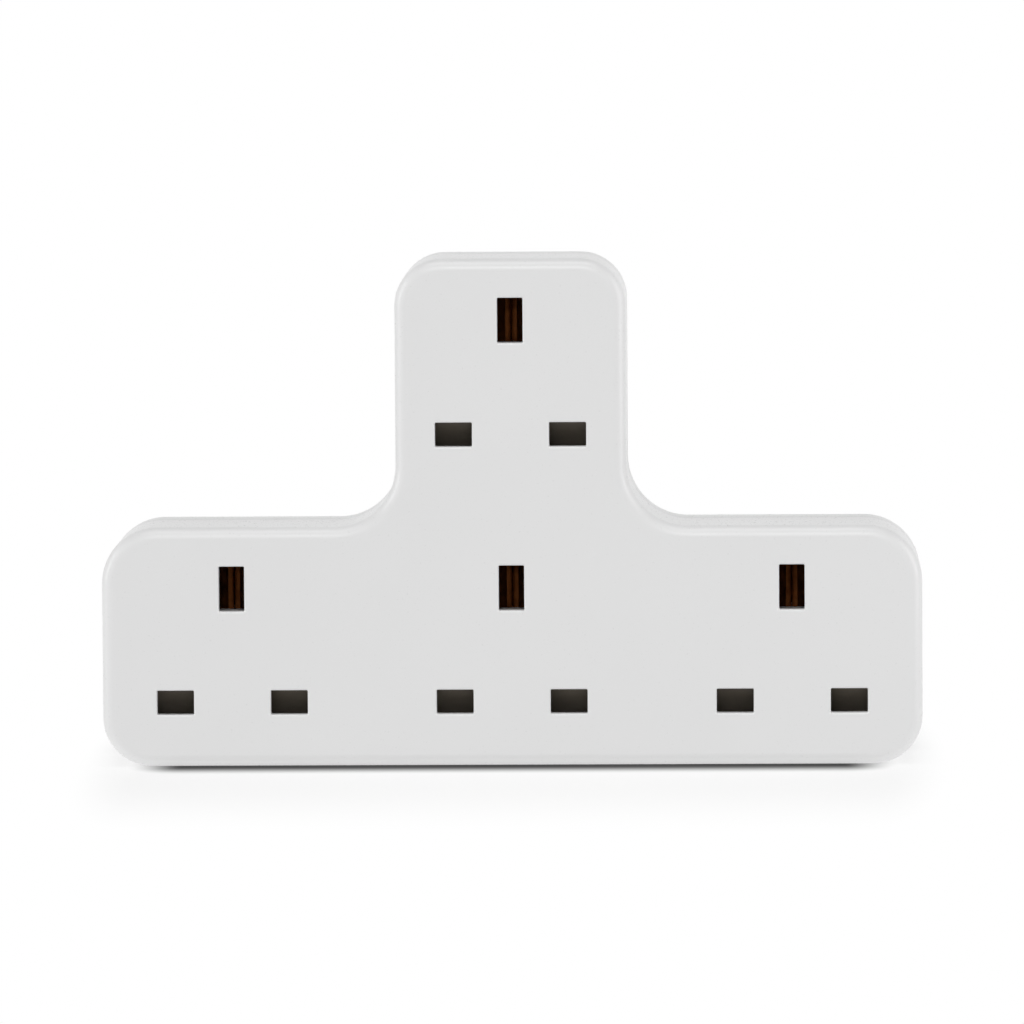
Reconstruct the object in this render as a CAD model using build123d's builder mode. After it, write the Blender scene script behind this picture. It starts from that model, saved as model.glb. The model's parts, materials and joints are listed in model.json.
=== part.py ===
from build123d import *
from math import cos, pi, sin
import os

os.makedirs("parts", exist_ok=True)

# Four-way mains adapter: three outlets in a row, one above, and a fused plug on the back.
# All sizes are millimetres. +X is right, +Z is up, the outlets face -Y.
# Depths are measured back from the front face, and the frame's origin is the middle of the base.

# Housing outline, seen from the front
WING_WIDTH = 160.0
WING_HEIGHT = 46.8
NECK_WIDTH = 45.0
BODY_HEIGHT = 99.0
WING_CORNER_R = 11.0
FOOT_CORNER_R = 9.5
NECK_CORNER_R = 9.2
ROOT_R = 11.9

# Housing depths and walls
HOUSING_DEPTH = 29.0
FRONT_DEPTH = 20.0
FACE_WALL = 2.4
SIDE_WALL = 2.2
REAR_WALL = 2.4
FRONT_EDGE_R = 2.4
REAR_EDGE_BEVEL = 1.6
PARTING_CHAMFER = 0.3
LAP_SKIN = 1.1
LAP_DEPTH = 1.6
LAP_CLEARANCE = 0.15

# Outlet pattern: line and neutral share a level, earth stands above and between them
PIN_GAUGE = 22.23
OUTLET_PITCH = 54.6
OUTLET_RISE = 52.2
ROW_Z = 12.6
LIVE_SLOT_SIDE_ROOM = 0.85
LIVE_SLOT_ROOM = 0.7
EARTH_SLOT_SIDE_ROOM = 0.95
EARTH_SLOT_ROOM = 0.75
SLOT_CHAMFER = 0.25

# Plug pins, the standard thirteen ampere set, which the outlets take as well
LIVE_PIN_WIDTH = 6.35
PIN_THICKNESS = 4.0
EARTH_PIN_WIDTH = 8.0
LIVE_PIN_REACH = 17.7
EARTH_PIN_REACH = 22.73
PIN_TIP_CHAMFER = 1.2
PIN_CLEARANCE = 0.1
COLLAR_LIP = 1.5
COLLAR_THICKNESS = 2.2
TENON = 2.6
TENON_CLEARANCE = 0.05
TENON_PROUD = 0.3
SLEEVE_REACH = 9.5
SLEEVE_ROOT = 1.4
SLEEVE_THICKNESS = 0.5

# Plug boss on the back
PLUG_Z = 24.0
BOSS_WIDTH = 48.0
BOSS_TOP_WIDTH = 33.0
BOSS_BELOW_PINS = 11.4
BOSS_SHOULDER = 19.0
BOSS_ABOVE_EARTH = 11.6
BOSS_RISE = 9.0
BOSS_WALL = 2.4
BOSS_CORNER_R = 5.0
BOSS_EDGE_BEVEL = 1.2

# Shutters behind the line and neutral slots
RUNNING_GAP = 0.15
SHUTTER_OVERLAP = 0.7
SHUTTER_DEPTH = 5.75
RAMP_TOP = 0.4
RAMP_DROP = 4.85
BLADE_TOP = 4.2
BRIDGE_LOW = 3.2
BRIDGE_TOP = 7.4
BRIDGE_THICKNESS = 2.85
SPRING_PAD_WIDTH = 6.4
OPEN_MARGIN = 0.2
GUIDE_GAP = 0.2
RAIL_THICKNESS = 1.4
STOP_RIB = 1.2
PEG_WIDTH = 1.6
PEG_GAP = 0.6

# Shutter return springs
SPRING_R = 1.6
SPRING_WIRE = 0.4
SPRING_TURNS = 4
SPRING_SIDES = 8
SPRING_SEAT = 0.75

# Plate that keeps each shutter in place and guides the pins to the contacts
RETAINER_GAP = 0.3
RETAINER_THICKNESS = 1.4
RETAINER_SLOT_MARGIN = 0.3
RETAINER_EDGE = 1.6
RETAINER_EARTH_EDGE = 3.4
TAB_HEIGHT = 5.0
TAB_CLEARANCE = 0.15

# Contacts and busbars, all of sheet metal
CONTACT_SHEET = 0.6
CONTACT_STANDOFF = 0.4
LIVE_CONTACT_WIDTH = 6.0
EARTH_CONTACT_WIDTH = 10.4
LIVE_NIP = 1.0
EARTH_NIP = 3.7
BELLY_ROOM = 0.8
MOUTH_FLARE = 1.4
TIP_LEAD = 0.2
LIVE_MOUTH_LENGTH = 2.0
EARTH_MOUTH_LENGTH = 0.55
PINCH_LENGTH = 3.0
LIVE_TIP_ROOM = 0.7
EARTH_TIP_ROOM = 1.5
BAR_SHEET = 0.8
BAR_WIDTH = 5.0
BAR_GAP = 2.0
NEUTRAL_BAR_LIFT = 7.6
BAR_POST = 3.0
POST_GAP = 0.1

# Fuse and its carrier
FUSE_LENGTH = 25.4
FUSE_CAP_R = 3.15
FUSE_CAP_LENGTH = 6.0
FUSE_CAP_SHEET = 0.3
FUSE_LIFT = 10.5
FUSE_END_ROOM = 2.1
CARRIER_FLANGE = 0.9
FLANGE_THICKNESS = 1.2
CARRIER_CLEARANCE = 0.2
CRADLE_WIDTH = 9.0
CRADLE_WALL = 1.1
CRADLE_CLEARANCE = 0.1
CRADLE_STEP = 0.15
CRADLE_WRAP = 1.2
NOTCH_WIDTH = 5.0
NOTCH_HEIGHT = 1.2
NOTCH_DEPTH = 0.8
CLIP_SHEET = 0.6
CLIP_WIDTH = 4.0
CLIP_GRIP_GAP = 0.08
CLIP_INSET = 2.7
CLIP_ARM_PAST_AXIS = 1.6
STRAP_WIDTH = 2.4
STRAP_BELOW_CLIP = 1.2
FOOT_LENGTH = 5.0
FOOT_LIFT = 6.8

# Housing screws, driven from the back
SCREW_R = 1.4
SCREW_HEAD_R = 2.7
SCREW_HEAD_HEIGHT = 1.9
SCREW_LENGTH = 16.0
SCREW_TIP_ROOM = 0.6
SCREW_HOLE_CLEARANCE = 0.2
SCREW_PILOT_CLEARANCE = 0.05
SCREW_RECESS_DEPTH = 4.0
SCREW_RECESS_CLEARANCE = 0.4
SCREW_PILLAR = 6.0
SCREW_WELL_WALL = 1.2
SCREW_BOSS_GAP = 0.1
WING_SCREW_INSET = 7.6
NECK_SCREW_INSET = 6.4

# Snap hooks along the base, where no screw fits beside the busbars
HOOK_WIDTH = 8.0
HOOK_THICKNESS = 1.4
HOOK_REACH = 6.0
HOOK_BARB = 0.7
HOOK_BARB_LENGTH = 2.0
HOOK_CLEARANCE = 0.15

# Places that follow from the sizes above
HALF_GAUGE = PIN_GAUGE / 2
TENON_HOLE = TENON + 2 * TENON_CLEARANCE
OUTLETS = {
    "left": (-OUTLET_PITCH, ROW_Z),
    "middle": (0.0, ROW_Z),
    "right": (OUTLET_PITCH, ROW_Z),
    "top": (0.0, ROW_Z + OUTLET_RISE),
}
LIVE_SLOT_WIDTH = LIVE_PIN_WIDTH + LIVE_SLOT_SIDE_ROOM
LIVE_SLOT_HEIGHT = PIN_THICKNESS + LIVE_SLOT_ROOM
EARTH_SLOT_WIDTH = PIN_THICKNESS + EARTH_SLOT_SIDE_ROOM
EARTH_SLOT_HEIGHT = EARTH_PIN_WIDTH + EARTH_SLOT_ROOM
PLUG_FACE = HOUSING_DEPTH + BOSS_RISE
PLUG_INNER = PLUG_FACE - BOSS_WALL
PLUG_EARTH_Z = PLUG_Z + PIN_GAUGE
REAR_INNER = HOUSING_DEPTH - REAR_WALL
LIVE_PINCH = PIN_THICKNESS - LIVE_NIP
EARTH_PINCH = PIN_THICKNESS - EARTH_NIP
CONTACT_BELLY = PIN_THICKNESS + BELLY_ROOM
LIVE_MOUTH = PIN_THICKNESS + MOUTH_FLARE
EARTH_MOUTH = PIN_THICKNESS - 2 * PIN_TIP_CHAMFER + TIP_LEAD
NEUTRAL_LAYER = LIVE_PIN_REACH + LIVE_TIP_ROOM + CONTACT_SHEET
LINE_LAYER = NEUTRAL_LAYER + BAR_SHEET + BAR_GAP
EARTH_LAYER = EARTH_PIN_REACH + EARTH_TIP_ROOM + CONTACT_SHEET
SHUTTER_FRONT = FACE_WALL + RUNNING_GAP
SHUTTER_BACK = SHUTTER_FRONT + SHUTTER_DEPTH
RETAINER_FRONT = SHUTTER_BACK + RETAINER_GAP
RETAINER_BACK = RETAINER_FRONT + RETAINER_THICKNESS
BLADE_HALF_WIDTH = LIVE_SLOT_WIDTH / 2 + SHUTTER_OVERLAP
BLADE_BOTTOM = -(LIVE_SLOT_HEIGHT / 2 + SHUTTER_OVERLAP)
SHUTTER_TRAVEL = LIVE_SLOT_HEIGHT + SHUTTER_OVERLAP + OPEN_MARGIN
SHUTTER_HALF_WIDTH = HALF_GAUGE + BLADE_HALF_WIDTH
RAIL_X = SHUTTER_HALF_WIDTH + GUIDE_GAP + RAIL_THICKNESS / 2
RAIL_BOTTOM = BLADE_BOTTOM - GUIDE_GAP - STOP_RIB
RAIL_TOP = BRIDGE_TOP + SHUTTER_TRAVEL
STOP_TOP = PIN_GAUGE - EARTH_SLOT_HEIGHT / 2 - GUIDE_GAP
STOP_LOW = STOP_TOP - STOP_RIB
PEG_LENGTH = (STOP_LOW - BRIDGE_TOP - SHUTTER_TRAVEL - PEG_GAP) / 2
SPRING_DEPTH = (SHUTTER_FRONT + SHUTTER_BACK) / 2
SPRING_STEPS = SPRING_TURNS * SPRING_SIDES
SPRING_MARGIN = SPRING_WIRE * SPRING_SEAT
SPRING_RISE = STOP_LOW - BRIDGE_TOP - 2 * SPRING_MARGIN
FUSE_Z = PLUG_Z + FUSE_LIFT
FUSE_DEPTH = PLUG_INNER - CRADLE_CLEARANCE - FUSE_CAP_R
FUSE_TUBE_R = FUSE_CAP_R - FUSE_CAP_SHEET
CRADLE_R = FUSE_TUBE_R + CRADLE_CLEARANCE
CRADLE_HEIGHT = 2 * (CRADLE_R + CRADLE_WALL)
CARRIER_WIDTH = FUSE_LENGTH + 2 * FUSE_END_ROOM
CARRIER_HEIGHT = CRADLE_HEIGHT + 2 * CRADLE_STEP
CLIP_X = FUSE_LENGTH / 2 - CLIP_INSET
CLIP_GRIP = FUSE_CAP_R + CLIP_GRIP_GAP
CLIP_BACK = FUSE_DEPTH - CLIP_GRIP
CLIP_FRONT = CLIP_BACK - CLIP_SHEET
STRAP_TOP = FUSE_Z - CLIP_GRIP - CLIP_SHEET - STRAP_BELOW_CLIP
FOOT_Z = FUSE_Z + FOOT_LIFT
SCREWS = [
    (-WING_WIDTH / 2 + WING_SCREW_INSET, WING_HEIGHT - WING_SCREW_INSET),
    (WING_WIDTH / 2 - WING_SCREW_INSET, WING_HEIGHT - WING_SCREW_INSET),
    (-NECK_WIDTH / 2 + NECK_SCREW_INSET, BODY_HEIGHT - NECK_SCREW_INSET),
    (NECK_WIDTH / 2 - NECK_SCREW_INSET, BODY_HEIGHT - NECK_SCREW_INSET),
]
HOOKS = [-OUTLET_PITCH / 2, OUTLET_PITCH / 2]
HOOK_TIP = FRONT_DEPTH - HOOK_REACH
SCREW_SEAT = HOUSING_DEPTH - SCREW_RECESS_DEPTH
SCREW_TIP = SCREW_SEAT - SCREW_LENGTH
SCREW_JOINT = FRONT_DEPTH - LAP_DEPTH
SCREW_WELL = 2 * (SCREW_HEAD_R + SCREW_RECESS_CLEARANCE + SCREW_WELL_WALL)


def y_at(depth):
    """The Y of a point this far behind the front face."""
    return depth - HOUSING_DEPTH / 2


def at_depth(depth):
    """An upright plane behind the front face: its x is X, its y is Z, and it faces forwards."""
    return Plane.XZ.offset(-y_at(depth))


def finish(piece, name):
    """Label a finished piece and write it to its own file."""
    piece.part.label = name
    export_step(piece.part, f"parts/{name}.step")


def pin_slots(x, z, live_width, live_height, earth_width, earth_height):
    """Three rectangles of one outlet or plug, for the sketch that is open."""
    with Locations((x - HALF_GAUGE, z), (x + HALF_GAUGE, z)):
        Rectangle(live_width, live_height)
    with Locations((x, z + PIN_GAUGE)):
        Rectangle(earth_width, earth_height)


# The inverted T that both shells share, and the lines inside it that their walls follow
with BuildSketch() as outline:
    with Locations((0, WING_HEIGHT / 2)):
        Rectangle(WING_WIDTH, WING_HEIGHT)
    with Locations((0, BODY_HEIGHT / 2)):
        Rectangle(NECK_WIDTH, BODY_HEIGHT)
    fillet(outline.vertices().group_by(Axis.Y)[-1], NECK_CORNER_R)
    fillet(outline.vertices().group_by(Axis.Y)[0], FOOT_CORNER_R)
    fillet(outline.vertices().group_by(Axis.X)[0].sort_by(Axis.Y)[-1], WING_CORNER_R)
    fillet(outline.vertices().group_by(Axis.X)[-1].sort_by(Axis.Y)[-1], WING_CORNER_R)
    fillet(outline.vertices().sort_by_distance((0, WING_HEIGHT))[:2], ROOT_R)

with BuildSketch() as inner_outline:
    add(outline.sketch_local)
    offset(amount=-SIDE_WALL, mode=Mode.REPLACE)

with BuildSketch() as lap_outline:
    add(outline.sketch_local)
    offset(amount=-LAP_SKIN, mode=Mode.REPLACE)

with BuildSketch() as tongue_outline:
    add(outline.sketch_local)
    offset(amount=-LAP_SKIN - LAP_CLEARANCE, mode=Mode.REPLACE)

with BuildSketch() as boss_outline:
    with BuildLine():
        Polyline(
            (-BOSS_WIDTH / 2, PLUG_Z - BOSS_BELOW_PINS),
            (BOSS_WIDTH / 2, PLUG_Z - BOSS_BELOW_PINS),
            (BOSS_WIDTH / 2, PLUG_Z + BOSS_SHOULDER),
            (BOSS_TOP_WIDTH / 2, PLUG_EARTH_Z + BOSS_ABOVE_EARTH),
            (-BOSS_TOP_WIDTH / 2, PLUG_EARTH_Z + BOSS_ABOVE_EARTH),
            (-BOSS_WIDTH / 2, PLUG_Z + BOSS_SHOULDER),
            close=True,
        )
    make_face()
    fillet(boss_outline.vertices(), BOSS_CORNER_R)

with BuildSketch() as boss_inner:
    add(boss_outline.sketch_local)
    offset(amount=-BOSS_WALL, mode=Mode.REPLACE)


# Front cover: outlet face, side walls, shutter guides and screw pillars
with BuildPart() as front_cover:
    with BuildSketch(at_depth(0)):
        add(outline.sketch_local)
    extrude(amount=-FRONT_DEPTH)
    fillet(front_cover.faces().sort_by(Axis.Y)[0].edges(), FRONT_EDGE_R)
    chamfer(front_cover.faces().sort_by(Axis.Y)[-1].edges(), PARTING_CHAMFER)
    with BuildSketch(at_depth(FACE_WALL)):
        add(inner_outline.sketch_local)
    extrude(amount=FACE_WALL - FRONT_DEPTH, mode=Mode.SUBTRACT)
    with BuildSketch(at_depth(FRONT_DEPTH)):
        add(lap_outline.sketch_local)
    extrude(amount=LAP_DEPTH, mode=Mode.SUBTRACT)
    with BuildSketch(at_depth(0)):
        for x, z in OUTLETS.values():
            pin_slots(
                x, z, LIVE_SLOT_WIDTH, LIVE_SLOT_HEIGHT, EARTH_SLOT_WIDTH, EARTH_SLOT_HEIGHT
            )
    extrude(amount=-FACE_WALL, mode=Mode.SUBTRACT)
    face = front_cover.faces().sort_by(Axis.Y)[0]
    chamfer([edge for wire in face.inner_wires() for edge in wire.edges()], SLOT_CHAMFER)
    # Rails beside each shutter, stops below its blades, and the spring stop under the earth slot
    with BuildSketch(at_depth(FACE_WALL)):
        for x, z in OUTLETS.values():
            with Locations((x - RAIL_X, z + RAIL_BOTTOM), (x + RAIL_X, z + RAIL_BOTTOM)):
                Rectangle(RAIL_THICKNESS, RAIL_TOP - RAIL_BOTTOM, align=(Align.CENTER, Align.MIN))
            with Locations((x - HALF_GAUGE, z + RAIL_BOTTOM), (x + HALF_GAUGE, z + RAIL_BOTTOM)):
                Rectangle(
                    2 * (BLADE_HALF_WIDTH + GUIDE_GAP), STOP_RIB, align=(Align.CENTER, Align.MIN)
                )
            with Locations((x, z + STOP_LOW)):
                Rectangle(SPRING_PAD_WIDTH, STOP_RIB, align=(Align.CENTER, Align.MIN))
    extrude(amount=FACE_WALL - RETAINER_FRONT)
    # Tabs on the rails that hold the retainer plates
    with BuildSketch(at_depth(RETAINER_FRONT)):
        for x, z in OUTLETS.values():
            with Locations((x - RAIL_X, z), (x + RAIL_X, z)):
                Rectangle(RAIL_THICKNESS, TAB_HEIGHT)
    extrude(amount=-RETAINER_THICKNESS)
    # Pegs that centre the springs
    for x, z in OUTLETS.values():
        with BuildSketch(Plane.XY.offset(z + STOP_LOW)):
            with Locations((x, y_at(SPRING_DEPTH))):
                Rectangle(PEG_WIDTH, PEG_WIDTH)
        extrude(amount=-PEG_LENGTH)
    # Screw pillars with pilot holes
    with BuildSketch(at_depth(FACE_WALL)):
        with Locations(*SCREWS):
            Rectangle(SCREW_PILLAR, SCREW_PILLAR)
        add(lap_outline.sketch_local, mode=Mode.INTERSECT)
    extrude(amount=FACE_WALL - SCREW_JOINT)
    with BuildSketch(at_depth(SCREW_JOINT)):
        with Locations(*SCREWS):
            Circle(SCREW_R + SCREW_PILOT_CLEARANCE)
    extrude(amount=SCREW_JOINT - SCREW_TIP + SCREW_TIP_ROOM, mode=Mode.SUBTRACT)
    # Pockets in the base wall for the rear cover's hooks
    with BuildSketch(at_depth(HOOK_TIP - HOOK_CLEARANCE)):
        with Locations(*[(x, SIDE_WALL - HOOK_BARB) for x in HOOKS]):
            Rectangle(
                HOOK_WIDTH + 2 * HOOK_CLEARANCE,
                HOOK_BARB + HOOK_CLEARANCE,
                align=(Align.CENTER, Align.MIN),
            )
    extrude(amount=-HOOK_BARB_LENGTH - 2 * HOOK_CLEARANCE, mode=Mode.SUBTRACT)
finish(front_cover, "front_cover")


# Rear cover: back wall, plug boss, fuse opening, screw wells and busbar posts
with BuildPart() as rear_cover:
    with BuildSketch(at_depth(FRONT_DEPTH)):
        add(outline.sketch_local)
    extrude(amount=FRONT_DEPTH - HOUSING_DEPTH)
    chamfer(rear_cover.faces().sort_by(Axis.Y)[-1].edges(), REAR_EDGE_BEVEL)
    with BuildSketch(at_depth(REAR_INNER)):
        add(boss_outline.sketch_local)
    extrude(amount=REAR_INNER - PLUG_FACE)
    chamfer(rear_cover.faces().sort_by(Axis.Y)[-1].edges(), BOSS_EDGE_BEVEL)
    with BuildSketch(at_depth(FRONT_DEPTH)):
        add(inner_outline.sketch_local)
    extrude(amount=FRONT_DEPTH - REAR_INNER, mode=Mode.SUBTRACT)
    with BuildSketch(at_depth(REAR_INNER)):
        add(boss_inner.sketch_local)
    extrude(amount=REAR_INNER - PLUG_INNER, mode=Mode.SUBTRACT)
    # Tongue that laps inside the front cover's rim
    with BuildSketch(at_depth(FRONT_DEPTH)):
        add(tongue_outline.sketch_local)
        add(inner_outline.sketch_local, mode=Mode.SUBTRACT)
    extrude(amount=LAP_DEPTH - LAP_CLEARANCE)
    # Slots for the plug pins, and the stepped opening of the fuse carrier
    with BuildSketch(at_depth(PLUG_FACE)):
        pin_slots(
            0,
            PLUG_Z,
            LIVE_PIN_WIDTH + 2 * PIN_CLEARANCE,
            PIN_THICKNESS + 2 * PIN_CLEARANCE,
            PIN_THICKNESS + 2 * PIN_CLEARANCE,
            EARTH_PIN_WIDTH + 2 * PIN_CLEARANCE,
        )
        with Locations((0, FUSE_Z)):
            Rectangle(CARRIER_WIDTH + 2 * CARRIER_CLEARANCE, CARRIER_HEIGHT + 2 * CARRIER_CLEARANCE)
    extrude(amount=BOSS_WALL, mode=Mode.SUBTRACT)
    with BuildSketch(at_depth(PLUG_FACE)):
        with Locations((0, FUSE_Z)):
            Rectangle(
                CARRIER_WIDTH + 2 * (CARRIER_FLANGE + CARRIER_CLEARANCE),
                CARRIER_HEIGHT + 2 * (CARRIER_FLANGE + CARRIER_CLEARANCE),
            )
    extrude(amount=FLANGE_THICKNESS, mode=Mode.SUBTRACT)
    # Screw wells: a post down to each pillar of the front cover, bored for shank and head
    with BuildSketch(at_depth(REAR_INNER)):
        with Locations(*SCREWS):
            Rectangle(SCREW_WELL, SCREW_WELL)
        add(inner_outline.sketch_local, mode=Mode.INTERSECT)
    extrude(amount=REAR_INNER - SCREW_JOINT - SCREW_BOSS_GAP)
    with BuildSketch(at_depth(HOUSING_DEPTH)):
        with Locations(*SCREWS):
            Circle(SCREW_HEAD_R + SCREW_RECESS_CLEARANCE)
    extrude(amount=SCREW_RECESS_DEPTH, mode=Mode.SUBTRACT)
    with BuildSketch(at_depth(HOUSING_DEPTH)):
        with Locations(*SCREWS):
            Circle(SCREW_R + SCREW_HOLE_CLEARANCE)
    extrude(amount=HOUSING_DEPTH - SCREW_JOINT, mode=Mode.SUBTRACT)
    # Hooks on the base wall: a springy tongue with a barb at its tip
    with BuildSketch(at_depth(REAR_INNER)):
        with Locations(*[(x, SIDE_WALL + HOOK_CLEARANCE) for x in HOOKS]):
            Rectangle(HOOK_WIDTH, HOOK_THICKNESS, align=(Align.CENTER, Align.MIN))
    extrude(amount=REAR_INNER - HOOK_TIP)
    with BuildSketch(at_depth(HOOK_TIP)):
        with Locations(*[(x, SIDE_WALL + HOOK_CLEARANCE - HOOK_BARB) for x in HOOKS]):
            Rectangle(HOOK_WIDTH, HOOK_BARB, align=(Align.CENTER, Align.MIN))
    extrude(amount=-HOOK_BARB_LENGTH)
    # Posts that hold each busbar against its contacts
    with BuildSketch(at_depth(REAR_INNER)):
        with Locations((-OUTLET_PITCH / 2, ROW_Z + PIN_GAUGE), (OUTLET_PITCH / 2, ROW_Z + PIN_GAUGE)):
            Rectangle(BAR_POST, BAR_POST)
    extrude(amount=REAR_INNER - EARTH_LAYER - BAR_SHEET - POST_GAP)
    with BuildSketch(at_depth(REAR_INNER)):
        with Locations((-OUTLET_PITCH / 2, ROW_Z), (OUTLET_PITCH / 2, ROW_Z)):
            Rectangle(BAR_POST, BAR_POST)
        with Locations((HALF_GAUGE, ROW_Z + OUTLET_RISE)):
            Rectangle(BAR_POST, BAR_POST)
    extrude(amount=REAR_INNER - LINE_LAYER - BAR_SHEET - POST_GAP)
    with BuildSketch(at_depth(REAR_INNER)):
        with Locations(
            (-OUTLET_PITCH / 2, ROW_Z + NEUTRAL_BAR_LIFT), (OUTLET_PITCH / 2, ROW_Z + NEUTRAL_BAR_LIFT)
        ):
            Rectangle(BAR_POST, BAR_POST)
        with Locations((-HALF_GAUGE, ROW_Z + OUTLET_RISE)):
            Rectangle(BAR_POST, BAR_POST)
    extrude(amount=REAR_INNER - NEUTRAL_LAYER - BAR_SHEET - POST_GAP)
finish(rear_cover, "rear_cover")


# Self-tapping screws with flat heads
with BuildPart() as housing_screws:
    with BuildSketch(at_depth(SCREW_SEAT)):
        with Locations(*SCREWS):
            Circle(SCREW_HEAD_R)
    extrude(amount=-SCREW_HEAD_HEIGHT)
    with BuildSketch(at_depth(SCREW_SEAT)):
        with Locations(*SCREWS):
            Circle(SCREW_R)
    extrude(amount=SCREW_LENGTH)
finish(housing_screws, "housing_screws")


# Shutters: two ramped blades, a bridge between them and a seat for the spring
for place, (x, z) in OUTLETS.items():
    with BuildPart() as shutter:
        for side in (-HALF_GAUGE, HALF_GAUGE):
            with BuildSketch(Plane.YZ.offset(x + side)):
                with BuildLine():
                    Polyline(
                        (y_at(SHUTTER_FRONT), z + BLADE_TOP),
                        (y_at(SHUTTER_FRONT), z + LIVE_SLOT_HEIGHT / 2 + RAMP_TOP),
                        (y_at(SHUTTER_FRONT + RAMP_DROP), z + BLADE_BOTTOM),
                        (y_at(SHUTTER_BACK), z + BLADE_BOTTOM),
                        (y_at(SHUTTER_BACK), z + BLADE_TOP),
                        close=True,
                    )
                make_face()
            extrude(amount=BLADE_HALF_WIDTH, both=True)
        with BuildSketch(at_depth(SHUTTER_FRONT)):
            with Locations((x, z + BRIDGE_LOW)):
                Rectangle(
                    2 * SHUTTER_HALF_WIDTH, BRIDGE_TOP - BRIDGE_LOW, align=(Align.CENTER, Align.MIN)
                )
        extrude(amount=-BRIDGE_THICKNESS)
        with BuildSketch(at_depth(SHUTTER_FRONT)):
            with Locations((x, z + BRIDGE_LOW)):
                Rectangle(
                    SPRING_PAD_WIDTH, BRIDGE_TOP - BRIDGE_LOW, align=(Align.CENTER, Align.MIN)
                )
        extrude(amount=-SHUTTER_DEPTH)
        with BuildSketch(Plane.XY.offset(z + BRIDGE_TOP)):
            with Locations((x, y_at(SPRING_DEPTH))):
                Rectangle(PEG_WIDTH, PEG_WIDTH)
        extrude(amount=PEG_LENGTH)
    finish(shutter, f"shutter_{place}")


# Coil springs between each shutter and the stop above it, with a few straight runs to a turn
for place, (x, z) in OUTLETS.items():
    with BuildPart() as shutter_spring:
        with BuildLine() as coil:
            Polyline(
                *[
                    (
                        x + SPRING_R * cos(2 * pi * step / SPRING_SIDES),
                        y_at(SPRING_DEPTH) + SPRING_R * sin(2 * pi * step / SPRING_SIDES),
                        z + BRIDGE_TOP + SPRING_MARGIN + SPRING_RISE * step / SPRING_STEPS,
                    )
                    for step in range(SPRING_STEPS + 1)
                ]
            )
        with BuildSketch(Plane(coil.line @ 0, z_dir=coil.line % 0)):
            Rectangle(SPRING_WIRE, SPRING_WIRE)
        sweep(transition=Transition.RIGHT)
    finish(shutter_spring, f"shutter_spring_{place}")


# Retainer plates: an inverted T with the pin openings, held on the rails' tabs
for place, (x, z) in OUTLETS.items():
    with BuildPart() as shutter_retainer:
        with BuildSketch(at_depth(RETAINER_FRONT)):
            with Locations((x, z + RAIL_BOTTOM)):
                Rectangle(
                    2 * (RAIL_X + RAIL_THICKNESS / 2 + RETAINER_EDGE),
                    RAIL_TOP - RAIL_BOTTOM,
                    align=(Align.CENTER, Align.MIN),
                )
                Rectangle(
                    EARTH_SLOT_WIDTH + 2 * RETAINER_EARTH_EDGE,
                    PIN_GAUGE + EARTH_SLOT_HEIGHT / 2 + RETAINER_EDGE - RAIL_BOTTOM,
                    align=(Align.CENTER, Align.MIN),
                )
            with Locations((x - HALF_GAUGE, z), (x + HALF_GAUGE, z)):
                Rectangle(
                    LIVE_SLOT_WIDTH + 2 * RETAINER_SLOT_MARGIN,
                    LIVE_SLOT_HEIGHT + 2 * RETAINER_SLOT_MARGIN,
                    mode=Mode.SUBTRACT,
                )
            with Locations((x, z + PIN_GAUGE)):
                Rectangle(
                    EARTH_SLOT_WIDTH + 2 * RETAINER_SLOT_MARGIN,
                    EARTH_SLOT_HEIGHT + 2 * RETAINER_SLOT_MARGIN,
                    mode=Mode.SUBTRACT,
                )
            with Locations((x - RAIL_X, z), (x + RAIL_X, z)):
                Rectangle(
                    RAIL_THICKNESS + 2 * TAB_CLEARANCE,
                    TAB_HEIGHT + 2 * TAB_CLEARANCE,
                    mode=Mode.SUBTRACT,
                )
        extrude(amount=-RETAINER_THICKNESS)
    finish(shutter_retainer, f"shutter_retainer_{place}")


def clip_points(opening, pinch, mouth_length, base_depth):
    """Bend points of one contact's strip: x across the clip, y back along the pin.

    The two leaves start at a flared mouth, pinch the pin, belly out and meet at the flat base.
    The mouth's opening and the pinch are clear gaps between the leaves.
    """
    half = CONTACT_SHEET / 2
    mouth = y_at(RETAINER_BACK + CONTACT_STANDOFF)
    leaf = [
        (opening / 2 + half, mouth),
        (pinch / 2 + half, mouth + mouth_length),
        (CONTACT_BELLY / 2 + half, mouth + mouth_length + PINCH_LENGTH),
        (CONTACT_BELLY / 2 + half, y_at(base_depth) - half),
    ]
    return leaf + [(-across, along) for across, along in reversed(leaf)]


# Contacts: one folded clip behind each slot, its base flat against its busbar
for place, (x, z) in OUTLETS.items():
    for pole, side, layer in (
        ("neutral", -HALF_GAUGE, NEUTRAL_LAYER),
        ("line", HALF_GAUGE, LINE_LAYER),
    ):
        with BuildPart() as live_contact:
            clip_plane = Plane(origin=(x + side, 0, z), x_dir=(0, 0, 1), z_dir=(-1, 0, 0))
            with BuildSketch(clip_plane):
                with BuildLine():
                    Polyline(*clip_points(LIVE_MOUTH, LIVE_PINCH, LIVE_MOUTH_LENGTH, layer))
                trace(line_width=CONTACT_SHEET)
            extrude(amount=LIVE_CONTACT_WIDTH / 2, both=True)
        finish(live_contact, f"{pole}_contact_{place}")
    with BuildPart() as earth_contact:
        with BuildSketch(Plane(origin=(x, 0, z + PIN_GAUGE))):
            with BuildLine():
                Polyline(*clip_points(EARTH_MOUTH, EARTH_PINCH, EARTH_MOUTH_LENGTH, EARTH_LAYER))
            trace(line_width=CONTACT_SHEET)
        extrude(amount=EARTH_CONTACT_WIDTH / 2, both=True)
    finish(earth_contact, f"earth_contact_{place}")


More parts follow.
